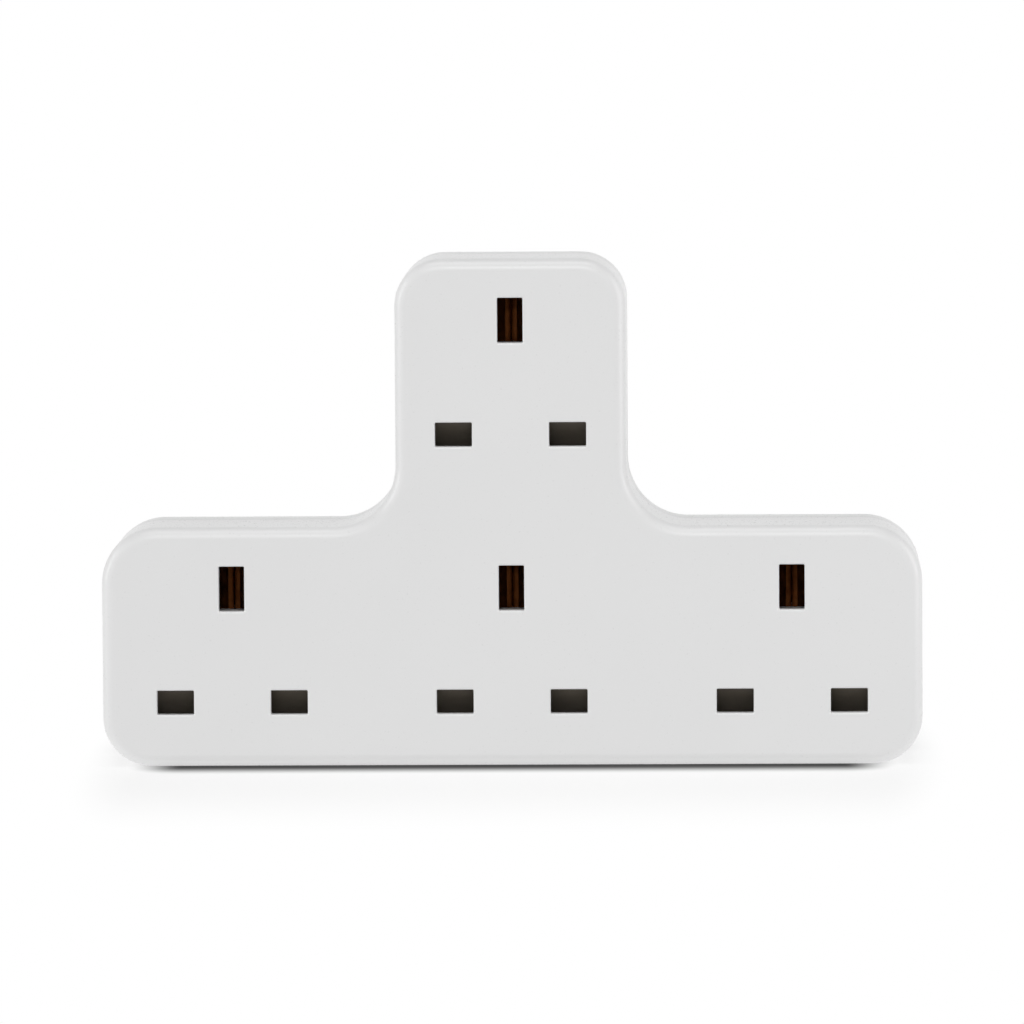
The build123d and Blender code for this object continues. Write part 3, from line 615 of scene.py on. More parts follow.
class Skin:
    """Points and faces of one object, gathered surface by surface and welded at the end."""

    def __init__(self) -> None:
        """Start with no points and no faces."""
        self.points: list[np.ndarray] = []
        self.faces: list[list[int]] = []
        self.total = 0

    def take(self, points: np.ndarray) -> int:
        """Keep the points of a grid, turned into metres.

        Args:
            points: (..., 3) places in millimetres.

        Returns:
            Index of the first point.
        """
        start = self.total
        self.points.append(points.reshape(-1, 3) * MM)
        self.total += points.size // 3
        return start

    def rings(self, grid: np.ndarray, ends: Ends = Ends.OPEN) -> None:
        """Join closed rings of points with quads, each ring to the next.

        Args:
            grid: (rings, points, 3) places.
            ends: What the surface has past its first and its last ring.
        """
        rows, columns = grid.shape[:2]
        index = self.take(grid) + np.arange(rows * columns).reshape(rows, columns)
        on = np.vstack([index, index[:1]]) if ends is Ends.JOINED else index
        beside = np.roll(on, -1, axis=1)
        quads = np.stack([on[:-1], beside[:-1], beside[1:], on[1:]], axis=-1)
        self.faces += quads.reshape(-1, 4).tolist()
        if ends is Ends.LIDS:
            self.faces += index[[0, -1]].tolist()

    def plates(self, openings: list[TwoArrays], depths: Pair) -> None:
        """Fill the two flat sides of a wall between its outline and its openings with triangles.

        Args:
            openings: (points, 2) rings on the two sides, those of the outline first.
            depths: Distances of the two sides behind the outlet face.
        """
        for loops, depth in zip(zip(*openings), depths):
            fill = tessellate_polygon([loop.tolist() for loop in loops])
            start = self.take(stand(np.concatenate(loops)[None], [depth]))
            self.faces += (np.array(fill) + start).tolist()

    def make(self, name: str) -> Piece:
        """Weld the surfaces into one object, and even out the triangles that fill flat faces.

        Args:
            name: Name of the object and its mesh.

        Returns:
            The object, at the origin, with its faces pointing outwards.
        """
        mesh = bpy.data.meshes.new(name)
        mesh.from_pydata(np.concatenate(self.points), [], self.faces)
        work = bmesh.new()
        work.from_mesh(mesh)
        bmesh.ops.remove_doubles(work, verts=work.verts, dist=WELD)
        fill = [face for face in work.faces if len(face.verts) == 3]
        bmesh.ops.beautify_fill(work, faces=fill, edges=work.edges)
        bmesh.ops.recalc_face_normals(work, faces=work.faces)
        work.to_mesh(mesh)
        work.free()
        mesh.shade_smooth()
        mesh.set_sharp_from_angle(angle=CRISP_ANGLE)
        return put(name, mesh)


def one_surface(name: str, grid: np.ndarray, ends: Ends) -> Piece:
    """Make an object of one surface of rings.

    Args:
        name: Name of the object and its mesh.
        grid: (rings, points, 3) places.
        ends: What the surface has past its first and its last ring.

    Returns:
        The object.
    """
    skin = Skin()
    skin.rings(grid, ends)
    return skin.make(name)


def outlet_place(place: str) -> Pair:
    """Middle between an outlet's line and neutral slots, x right and z up."""
    mount = next(m for m in frame["record"]["mounts"] if m["name"] == f"outlet_{place}")
    return mount["pos_m"][0] / MM, mount["pos_m"][2] / MM


def node_box(node: str) -> TwoArrays:
    """Lowest and highest corner of a CAD node."""
    low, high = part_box(node)
    return np.array(low) / MM, np.array(high) / MM


def seat(piece: Piece, node: str) -> None:
    """Let a piece stand for a CAD node: it rides the node's body and takes its slot and finish.

    Args:
        piece: Piece to seat.
        node: CAD node that it stands for.
    """
    record = frame["record"]
    slot = next(row["material_slot"] for row in record["subparts"] if row["node"] == node)
    body = next(name for name, nodes in record["behaviour"]["bodies"].items() if node in nodes)
    FINISHES[slot].dress(piece)
    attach(piece, body)
    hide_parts(node)
    log.info("%s stands for %s on %s", piece.name, node, body)


def seat_rounded(node: str, form: str, edge: float) -> None:
    """Let a copy of a CAD node whose shape is right stand for it, with its sharp edges rounded.

    Args:
        node: CAD node to copy.
        form: Word that the copy's name ends with.
        edge: Radius of the edges.
    """
    mesh = bpy.data.meshes.new(f"{node}_{form}")
    work = bmesh.new()
    work.from_mesh(frame["nodes"][node].data)
    bmesh.ops.remove_doubles(work, verts=work.verts, dist=WELD)
    bmesh.ops.dissolve_limit(work, angle_limit=FLAT_ANGLE, verts=work.verts, edges=work.edges)
    work.to_mesh(mesh)
    work.free()
    mesh.shade_smooth()
    piece = put(mesh.name, mesh)
    rounding = piece.modifiers.new("rounded_edges", "BEVEL")
    rounding.width = edge * MM
    rounding.segments = ROUNDED_RUNS
    rounding.limit_method = "ANGLE"
    rounding.angle_limit = ROUNDED_ANGLE
    rounding.harden_normals = True
    seat(piece, node)


@dataclass
class Housing:
    """Front and rear cover of the inverted T, in white ABS.

    Each cover is one closed shell: a section of its wall carried round the outline, flat faces filled
    between the outline and their openings, and linings through the openings. Ribs, posts and pillars
    are rounded bars that stand in the walls.
    """

    # Outline of the T
    wing_height: float = 46.8
    neck_width: float = 45.0
    wing_corner: float = 11.0
    foot_corner: float = 9.5
    neck_corner: float = 9.2
    root_corner: float = 11.9
    # Walls and their edges. The guard is a flat margin that keeps a face evenly shaded up to its edge
    depth: float = 29.0
    front_depth: float = 20.0
    face_wall: float = 2.4
    side_wall: float = 2.2
    rear_wall: float = 2.4
    front_edge: float = 2.4
    rear_edge: float = 1.6
    parting_edge: float = 0.3
    inner_corner: float = 0.8
    guard: float = 0.12
    # Lap joint, where the rear cover's tongue enters the front cover
    lap_skin: float = 1.1
    lap_depth: float = 1.6
    lap_gap: float = 0.15
    tongue_edge: float = 0.12
    # Outlet slots
    gauge: float = 22.23
    live_slot: Pair = (7.2, 4.7)
    earth_slot: Pair = (4.95, 8.75)
    slot_corner: float = 0.25
    slot_lip: float = 0.45
    # Ribs and posts, with their roots sunk in the wall
    sunk: float = 0.3
    rib_edge: float = 0.2
    rib_corner: float = 0.25
    # Shutter guides, placed from the middle between an outlet's live slots
    rail_x: float = 16.315
    rail_low: float = -4.45
    rail_top: float = 13.0
    rail_thickness: float = 1.4
    rail_back: float = 8.6
    tab_height: float = 5.0
    tab_back: float = 10.0
    stop_width: float = 9.2
    stop_height: float = 1.2
    spring_stop: float = 16.455
    spring_pad: float = 6.4
    peg_width: float = 1.6
    peg_corner: float = 0.2
    peg_length: float = 1.43
    peg_depth: float = 5.425
    # Screws, with their wells and posts in the rear cover and pillars in the front cover
    wing_screw_inset: float = 7.6
    neck_screw_inset: float = 6.4
    screw_seat: float = 25.0
    well_radius: float = 3.1
    post_radius: float = 4.2
    post_bore: float = 1.6
    pillar_radius: float = 3.0
    pilot_radius: float = 1.45
    pilot_end: float = 8.4
    # Plug boss, placed from the middle between the line and neutral pins
    plug_z: float = 24.0
    plug_face: float = 38.0
    boss_half: float = 24.0
    boss_top_half: float = 16.5
    boss_below: float = 11.4
    boss_shoulder: float = 19.0
    boss_above: float = 11.6
    boss_corner: float = 5.0
    boss_edge: float = 1.2
    boss_foot: float = 0.6
    boss_wall: float = 2.4
    pin_slot_live: Pair = (6.55, 4.2)
    pin_slot_earth: Pair = (4.2, 8.2)
    # Opening for the fuse carrier
    hatch_z: float = 34.5
    hatch_outer: Pair = (31.8, 10.6)
    hatch_inner: Pair = (30.0, 8.8)
    hatch_step: float = 1.2
    hatch_corner: float = 0.5
    hatch_lip: float = 0.15
    # Snap hooks, and posts that press the busbars on their contacts
    hook_size: Pair = (8.0, 1.4)
    hook_z: float = 3.05
    hook_tip: float = 14.0
    bar_post: float = 3.0
    bar_post_gap: float = 0.1
    neutral_lift: float = 7.6

    def outline(self, insets: np.ndarray) -> np.ndarray:
        """Rings of the inverted T, from the right foot anticlockwise, sized by the frame.

        Args:
            insets: (rings,) insets from the outside.

        Returns:
            (rings, points, 2) places.
        """
        wing, _, top = node_box("front_cover")[1]
        neck = self.neck_width / 2
        right = [
            (wing, 0.0, self.foot_corner),
            (wing, self.wing_height, self.wing_corner),
            (neck, self.wing_height, self.root_corner),
            (neck, top, self.neck_corner),
        ]
        return Outline.mirrored(right).rings(insets, steps=20)

    def boss(self, insets: np.ndarray) -> np.ndarray:
        """Rings of the plug boss: straight sides, then shoulders that draw in towards the earth pin.

        Args:
            insets: (rings,) insets from the outside.

        Returns:
            (rings, points, 2) places.
        """
        right = [
            (self.boss_half, self.plug_z - self.boss_below, self.boss_corner),
            (self.boss_half, self.plug_z + self.boss_shoulder, self.boss_corner),
            (self.boss_top_half, self.plug_z + self.gauge + self.boss_above, self.boss_corner),
        ]
        return Outline.mirrored(right).rings(insets, steps=10)

    def screws(self) -> list[Pair]:
        """Places of the four screws: one near each wing's outer corner, and two at the neck's top.

        Returns:
            The four places, x right and z up.
        """
        half, _, top = node_box("front_cover")[1]
        wing_x, wing_z = half - self.wing_screw_inset, self.wing_height - self.wing_screw_inset
        neck_x, neck_z = self.neck_width / 2 - self.neck_screw_inset, top - self.neck_screw_inset
        return [(-wing_x, wing_z), (wing_x, wing_z), (-neck_x, neck_z), (neck_x, neck_z)]

    def lip(self, radius: float, outer: float, inner: float, steps: int) -> np.ndarray:
        """Section of an opening: a flat guard on the outer face, a round lip and a straight wall.

        Args:
            radius: Radius of the lip.
            outer: Depth of the face that has the lip.
            inner: Depth where the wall ends.
            steps: Straight runs in the lip.

        Returns:
            (rings, 2) outsets from the wall, and depths.
        """
        edge = round_edge(radius, steps)[::-1] * (1, np.sign(inner - outer)) + (0, outer)
        return np.vstack([(radius + self.guard, outer), edge, (0.0, inner)])

    def line_slots(
        self, skin: Skin, place: Pair, sizes: tuple[Pair, Pair], lip: np.ndarray
    ) -> list[TwoArrays]:
        """Line three slots through a wall, each a rounded rectangle carried along the lip's section.

        Args:
            skin: Skin that takes the linings.
            place: Middle between the line and neutral slots, x right and z up.
            sizes: Width and height of a live slot, and of the earth slot.
            lip: Section of the slots.

        Returns:
            The rings that each slot leaves open in the outer and in the inner face.
        """
        (x, z), (live, earth) = place, sizes
        outset, depth = lip.T
        faces = []
        for aside, lift, size in (
            (-self.gauge / 2, 0.0, live),
            (self.gauge / 2, 0.0, live),
            (0.0, self.gauge, earth),
        ):
            grown = np.add.outer(size, 2 * outset)
            flat = rectangles(x + aside, z + lift, *grown, self.slot_corner + outset)
            skin.rings(stand(flat, depth))
            faces.append((flat[0], flat[-1]))
        return faces

    def bar(self, skin: Skin, x: float, z: float, size: Pair, root: float, tip: float) -> None:
        """Stand a rib or post in a wall: a rounded rectangle carried from its sunk root to a rounded tip.

        Args:
            skin: Skin that takes it.
            x: Middle to the right.
            z: Middle upwards.
            size: Width and height.
            root: Depth of the wall's surface.
            tip: Depth of the tip.
        """
        edge = round_edge(self.rib_edge, steps=3)
        outward = np.sign(tip - root)
        inset = np.concatenate([[0.0], edge[:, 0]])
        depth = np.concatenate([[root - outward * self.sunk], tip - outward * edge[:, 1]])
        flat = rectangles(x, z, size[0] - 2 * inset, size[1] - 2 * inset, self.rib_corner, steps=3)
        skin.rings(stand(flat, depth), Ends.LIDS)

    def wall_section(self, depths: Pair, edges: Pair, lap: Pair, steps: tuple[int, int]) -> np.ndarray:
        """Section of a cover's wall, from its flat face over the rim and the lap joint to the inside.

        Args:
            depths: Depths of the flat face's outer and inner side.
            edges: Radii of the face's edge and of the rim.
            lap: Inset and depth of the lap joint's step.
            steps: Straight runs in the face's edge and in the rim.

        Returns:
            (rings, 2) insets from the outline, and depths.
        """
        outer, inner = depths
        inward = np.sign(inner - outer)
        edge = round_edge(edges[0], steps[0])[::-1] * (1, inward) + (0, outer)
        rim = round_edge(edges[1], steps[1]) * (1, -inward) + (0, self.front_depth)
        corner = round_edge(self.inner_corner, steps=4) * (1, inward) + (self.side_wall, inner)
        return np.vstack(
            [
                (edges[0] + self.guard, outer),
                edge,
                rim,
                (lap[0], self.front_depth),
                lap,
                (self.side_wall, lap[1]),
                corner,
                (self.side_wall + self.inner_corner + self.guard, inner),
            ]
        )

    def front_cover(self) -> Piece:
        """Outlet face with twelve slots, its walls, the shutter guides and the screw pillars.

        Returns:
            The front cover.
        """
        skin = Skin()
        joint, sides = self.front_depth - self.lap_depth, (0.0, self.face_wall)
        edges = (self.front_edge, self.parting_edge)
        inset, depth = self.wall_section(sides, edges, (self.lap_skin, joint), steps=(14, 4)).T
        walls = self.outline(inset)
        skin.rings(stand(walls, depth))
        face = [(walls[0], walls[-1])]
        lip = self.lip(self.slot_lip, *sides, steps=8)
        for place in map(outlet_place, OUTLETS):
            face += self.line_slots(skin, place, (self.live_slot, self.earth_slot), lip)
            self.guides(skin, *place)
        skin.plates(face, sides)
        for x, z in self.screws():
            pillar = circles(x, z, np.repeat([self.pillar_radius, self.pilot_radius], 2))
            skin.rings(stand(pillar, [self.face_wall - self.sunk, joint, joint, self.pilot_end]), Ends.LIDS)
        return skin.make("front_cover_moulding")

    def guides(self, skin: Skin, x: float, z: float) -> None:
        """Stand one outlet's rails, blade stops, retainer tabs and spring peg on the inside of the face.

        Args:
            skin: Skin that takes them.
            x: Middle between the outlet's live slots, to the right.
            z: The same middle, upwards.
        """
        middle, tall = (self.rail_low + self.rail_top) / 2, self.rail_top - self.rail_low
        stop = z + self.rail_low + self.stop_height / 2
        blade, pad = (self.stop_width, self.stop_height), (self.spring_pad, self.stop_height)
        for side in (-1, 1):
            rail, slot = x + side * self.rail_x, x + side * self.gauge / 2
            self.bar(skin, rail, z + middle, (self.rail_thickness, tall), self.face_wall, self.rail_back)
            self.bar(skin, rail, z, (self.rail_thickness, self.tab_height), self.rail_back, self.tab_back)
            self.bar(skin, slot, stop, blade, self.face_wall, self.rail_back)
        hung = z + self.spring_stop
        self.bar(skin, x, hung + self.stop_height / 2, pad, self.face_wall, self.rail_back)
        square = np.repeat(self.peg_width, 2)
        peg = rectangles(x, FACE_Y + self.peg_depth, square, square, self.peg_corner)
        level = np.broadcast_to([[hung + self.sunk], [hung - self.peg_length]], peg.shape[:2])
        skin.rings(np.dstack([peg, level]), Ends.LIDS)

    def boss_section(self) -> np.ndarray:
        """Section of the plug boss's wall, from a hollow foot on the back to its rounded edge.

        Returns:
            (rings, 2) insets from the boss's outline, and depths.
        """
        foot = round_edge(self.boss_foot, steps=5)[::-1] * (-1, 1) + (0, self.depth)
        edge = round_edge(self.boss_edge, steps=8) * (1, -1) + (0, self.plug_face)
        start = (-self.boss_foot - self.guard, self.depth)
        return np.vstack([start, foot, edge, (self.boss_edge + self.guard, self.plug_face)])

    def rear_cover(self) -> Piece:
        """Back wall with the plug boss, the fuse hatch, screw wells, hooks and busbar posts.

        Returns:
            The rear cover.
        """
        skin = Skin()
        inner, plug_inner = self.depth - self.rear_wall, self.plug_face - self.boss_wall
        tongue = (self.lap_skin + self.lap_gap, self.front_depth - self.lap_depth + self.lap_gap)
        edges = (self.rear_edge, self.tongue_edge)
        inset, depth = self.wall_section((self.depth, inner), edges, tongue, steps=(10, 2)).T
        walls = self.outline(inset)
        within = inset >= self.side_wall
        walls[within] = self.clear_wells(walls[within])
        skin.rings(stand(walls, depth))
        rise, height = self.boss_section().T
        boss, hollow = self.boss(rise), self.boss(np.repeat(self.boss_wall, 2))
        skin.rings(stand(boss, height))
        skin.rings(stand(hollow, [inner, plug_inner]))
        back = [(walls[0], walls[-1]), (boss[0], hollow[0])]
        outset, fall = self.lip(self.guard, self.depth, inner, steps=2).T
        for x, z in self.screws():
            well = circles(x, z, self.well_radius + outset)
            skin.rings(stand(well, fall))
            back.append((well[0], well[-1]))
            self.screw_post(skin, x, z, inner)
        skin.plates(back, (self.depth, inner))
        lip = self.lip(self.hatch_lip, self.plug_face, plug_inner, steps=8)
        slots = (self.pin_slot_live, self.pin_slot_earth)
        plug = [(boss[-1], hollow[-1]), *self.line_slots(skin, (0.0, self.plug_z), slots, lip)]
        plug.append(self.hatch(skin, plug_inner))
        skin.plates(plug, (self.plug_face, plug_inner))
        self.inner_posts(skin, inner)
        return skin.make("rear_cover_moulding")

    def clear_wells(self, rings: np.ndarray) -> np.ndarray:
        """Lead an inner wall round the screw wells: points too near an axis move straight out from it.

        Args:
            rings: (rings, points, 2) places.

        Returns:
            The rings, with every point outside the wells.
        """
        clear = self.well_radius + self.guard
        for axis in self.screws():
            away = rings - axis
            reach = np.linalg.norm(away, axis=-1, keepdims=True)
            rings = axis + away * np.maximum(1.0, clear / reach)
        return rings

    def hatch(self, skin: Skin, inner: float) -> TwoArrays:
        """Line the fuse carrier's opening: a wide rounded rectangle to a ledge, and a narrow one behind.

        Args:
            skin: Skin that takes the lining.
            inner: Depth of the wall's inner side.

        Returns:
            The rings that the opening leaves in the outer and in the inner face.
        """
        ledge = self.plug_face - self.hatch_step
        outset, depth = self.lip(self.hatch_lip, self.plug_face, ledge, steps=3).T
        outer = np.add.outer(self.hatch_outer, 2 * outset)
        wide = rectangles(0.0, self.hatch_z, *outer, self.hatch_corner + outset)
        narrow = rectangles(0.0, self.hatch_z, *np.outer(self.hatch_inner, (1, 1)), self.hatch_corner)
        skin.rings(stand(np.vstack([wide, narrow]), np.concatenate([depth, [ledge, inner]])))
        return wide[0], narrow[-1]

    def screw_post(self, skin: Skin, x: float, z: float, inner: float) -> None:
        """Stand a post in the back wall that is bored for a screw: a section turned about its axis.

        Args:
            skin: Skin that takes it.
            x: Axis to the right.
            z: Axis upwards.
            inner: Depth of the back wall's inner side.
        """
        radii = np.repeat([self.post_radius, self.post_bore, self.well_radius + self.guard], 2)
        joint, root = self.front_depth - self.lap_depth + self.guard, inner + self.sunk
        depths = [root, joint, joint, self.screw_seat, self.screw_seat, root]
        skin.rings(stand(circles(x, z, radii), depths), Ends.JOINED)

    def inner_posts(self, skin: Skin, inner: float) -> None:
        """Stand the snap hooks and the posts that press each busbar on its contacts.

        Args:
            skin: Skin that takes them.
            inner: Depth of the back wall's inner side.
        """
        right, row = outlet_place("right")
        top = outlet_place("top")[1]
        between, half = right / 2, self.gauge / 2
        for side in (-1, 1):
            self.bar(skin, side * between, self.hook_z, self.hook_size, inner, self.hook_tip)
        for pole, level, at_top in (
            ("earth", row + self.gauge, []),
            ("line", row, [(half, top)]),
            ("neutral", row + self.neutral_lift, [(-half, top)]),
        ):
            tip = node_box(f"{pole}_busbar")[1][1] - FACE_Y + self.bar_post_gap
            for x, z in [(-between, level), (between, level), *at_top]:
                self.bar(skin, x, z, (self.bar_post, self.bar_post), inner, tip)

    def build(self) -> None:
        """Mould both covers."""
        seat(self.front_cover(), "front_cover")
        seat(self.rear_cover(), "rear_cover")


@dataclass
class HousingScrews:
    """Four zinc-plated self-tapping screws with pan heads, cross recesses and cut threads.

    Attributes:
        housing: Housing that they hold together.
        eye: Radius of the small lid that closes the middle of the recess.
        recess_draft: Width over which a side wall of the recess falls.
        recess_end: Length over which an end wall of the recess falls.
        recess_rise: Share of its depth by which the recess is shallower at its ends.
        ridge_half: Half the width of the thread's ridge, as a share of the pitch.
        plain: Length without thread under the head.
        point_power: Power that the radius falls with along the point, 1 for a cone.
        blunt: Share of the point's length that its end is cut back by.
    """

    housing: Housing
    head_radius: float = 2.7
    head_height: float = 1.9
    head_round: float = 0.9
    eye: float = 0.02
    recess_reach: float = 1.55
    recess_half: float = 0.38
    recess_depth: float = 1.15
    recess_draft: float = 0.12
    recess_end: float = 0.25
    recess_rise: float = 0.45
    core_radius: float = 1.02
    crest_radius: float = 1.4
    ridge_half: float = 0.32
    pitch: float = 1.27
    plain: float = 0.9
    point: float = 2.2
    point_power: float = 0.6
    blunt: float = 0.01
    columns: int = 72
    crown_rows: int = 26
    shank_rows: int = 110

    def head(self) -> TwoArrays:
        """Radius and height of the head over its seat, on a grid of rows from the crown to the rim.

        The crown is a flat disc with a rounded edge. The cross recess lowers it where either of two
        crossed bars covers the point: sloping walls fall to a floor that rises with the radius.

        Returns:
            Radii and heights, each (rows, columns).
        """
        angle = full_turn(self.columns)[None, :]
        flat = np.linspace(self.eye, self.head_radius - self.head_round, self.crown_rows)[:, None]
        x, z = np.abs(flat * np.cos(angle)), np.abs(flat * np.sin(angle))
        along, across = np.maximum(x, z), np.minimum(x, z)
        wall = np.clip((self.recess_half - across) / self.recess_draft + 0.5, 0, 1)
        end = np.clip((self.recess_reach - along) / self.recess_end, 0, 1)
        fall = self.recess_depth * (1 - self.recess_rise * along / self.recess_reach)
        crown = self.head_height - wall * end * fall
        edge = round_edge(self.head_round, steps=6)[::-1]
        rim = np.vstack([self.head_height - edge[:, 1:], [[0.0]]])
        heights = np.vstack([crown, np.broadcast_to(rim, (len(rim), self.columns))])
        radii = np.vstack([flat, self.head_radius - edge[:, :1], [[self.head_radius]]])
        return np.broadcast_to(radii, heights.shape), heights

    def shank(self, length: float) -> TwoArrays:
        """Radius and height of the threaded shank below the seat.

        The radius is the core plus a ridge, whose height falls away evenly on both sides of a helix
        that drops one pitch in a turn. The point draws the whole radius in to nearly nothing.

        Args:
            length: Length below the seat.

        Returns:
            Radii and heights, each (rows, columns).
        """
        angle = full_turn(self.columns)[None, :]
        drop = np.linspace(0.0, length, self.shank_rows)[:, None]
        phase = (drop / self.pitch - angle / (2 * pi)) % 1.0
        ridge = np.clip(1 - np.abs(phase - 0.5) / self.ridge_half, 0, 1)
        ridge = ridge * np.clip((drop - self.plain) / self.pitch, 0, 1)
        taper = np.clip((length - drop) / self.point, self.blunt, 1) ** self.point_power
        radii = (self.core_radius + (self.crest_radius - self.core_radius) * ridge) * taper
        return radii, np.broadcast_to(-drop, radii.shape)

    def build(self) -> None:
        """Turn the four screws into one piece."""
        seat_y = self.housing.screw_seat + FACE_Y
        tip_y = node_box("housing_screws")[0][1]
        radii, heights = map(np.vstack, zip(self.head(), self.shank(seat_y - tip_y)))
        angle = full_turn(self.columns)
        skin = Skin()
        for x, z in self.housing.screws():
            rings = [x + radii * np.cos(angle), seat_y + heights, z + radii * np.sin(angle)]
            skin.rings(np.stack(rings, axis=-1), Ends.LIDS)
        seat(skin.make("housing_screws_threaded"), "housing_screws")


@dataclass
class ShutterGear:
    """Shutters of dark nylon, black retainer plates and steel return springs behind each outlet."""

    turns: float = 7.0
    wire: float = 0.4
    closing: float = 0.72
    wire_rows: int = 300
    wire_sides: int = 10
    moulded_edge: float = 0.22
    plate_edge: float = 0.15

    def spring(self, node: str) -> Piece:
        """Wind one spring: a round wire carried along a helix.

        The helix climbs evenly, less a sine wave over the whole length, so that its end turns close up.

        Args:
            node: CAD node that the spring stands for.

        Returns:
            The spring.
        """
        low, high = node_box(node)
        middle, half = (low + high) / 2, self.wire / 2
        radius, rise = (high[0] - low[0] - self.wire) / 2, high[2] - low[2] - self.wire
        share = np.linspace(0, 1, self.wire_rows)[:, None]
        turn = 2 * pi * self.turns * share
        climb = share - self.closing * np.sin(2 * pi * share) / (2 * pi)
        section = full_turn(self.wire_sides)[None, :]
        reach = radius + half * np.cos(section)
        level = low[2] + half + rise * climb + half * np.sin(section)
        rings = [middle[0] + reach * np.cos(turn), middle[1] + reach * np.sin(turn), level]
        return one_surface(f"{node}_coil", np.stack(rings, axis=-1), Ends.LIDS)

    def build(self) -> None:
        """Mould shutters and plates, and wind their return springs."""
        for place in OUTLETS:
            seat_rounded(f"shutter_{place}", "moulding", self.moulded_edge)
            seat_rounded(f"shutter_retainer_{place}", "plate", self.plate_edge)
            node, joint = f"shutter_spring_{place}", f"shutter_{place}_slide"
            coil = self.spring(node)
            seat(coil, node)
            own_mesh(coil)


@dataclass(frozen=True)
class Mouth:
    """Front end of a contact clip.

    Attributes:
        opening: Clear gap between the leaves at their tips.
        pinch: Gap to which the leaves would close with a sharp fold, below zero where they would cross.
        length: Length of the flare in front of the pinch.
        bend: Radius of the fold at the pinch.
        facing: Axis along which the leaves face each other.
    """

    opening: float
    pinch: float
    length: float
    bend: float
    facing: Facing


@dataclass
class Wiring:
    """Bronze contact clips behind the slots, and the brass busbars that join them."""

    sheet: float = 0.6
    edge: float = 0.12
    bend: float = 0.7
    base_bend: float = 0.9
    bend_steps: int = 6
    live: Mouth = Mouth(opening=5.4, pinch=3.0, length=2.0, bend=0.7, facing=Facing.UPWARD)
    earth: Mouth = Mouth(opening=1.8, pinch=-0.34, length=0.3, bend=0.32, facing=Facing.ACROSS)
    belly: float = 4.8
    mouth_depth: float = 10.4
    throat: float = 3.0
    strip_edge: float = 0.1

    def clip(self, node: str, mouth: Mouth) -> Piece:
        """Fold one contact: its section, a thin rounded rectangle, carried along the strip's bent line.

        The line runs from a flared mouth through the pinch and the belly to the flat base, and back.

        Args:
            node: CAD node that the clip stands for.
            mouth: Form of its front end.

        Returns:
            The clip.
        """
        low, high = node_box(node)
        start, half = FACE_Y + self.mouth_depth, self.sheet / 2
        leaf = [
            (-mouth.opening / 2 - half, 0.0, 0.0),
            (-mouth.pinch / 2 - half, mouth.length, mouth.bend),
            (-self.belly / 2 - half, mouth.length + self.throat, self.bend),
            (-self.belly / 2 - half, high[1] - start - half, self.base_bend),
        ]
        bent = Outline.mirrored(leaf).rings([0.0], self.bend_steps)[0]
        line = bent[self.bend_steps : -self.bend_steps]
        ahead = np.gradient(line, axis=0)
        ahead /= np.linalg.norm(ahead, axis=1, keepdims=True)
        aside = np.stack([-ahead[:, 1], ahead[:, 0]], axis=1)
        across = mouth.facing.value
        up = Facing.UPWARD.value - across
        section = rectangles(0.0, 0.0, self.sheet, high[up] - low[up], self.edge, steps=2)[0]
        flat = line[:, None] + section[None, :, :1] * aside[:, None]
        rings = np.empty((*flat.shape[:2], 3))
        rings[..., across] = (low + high)[across] / 2 + flat[..., 0]
        rings[..., 1] = start + flat[..., 1]
        rings[..., up] = (low + high)[up] / 2 + section[None, :, 1]
        return one_surface(f"{node}_clip", rings, Ends.LIDS)

    def build(self) -> None:
        """Fold the twelve clips and round the edges of the three busbars."""
        mouths = {"neutral": self.live, "line": self.live, "earth": self.earth}
        for place in OUTLETS:
            for pole, mouth in mouths.items():
                node = f"{pole}_contact_{place}"
                seat(self.clip(node, mouth), node)
        for pole in mouths:
            seat_rounded(f"{pole}_busbar", "strip", self.strip_edge)


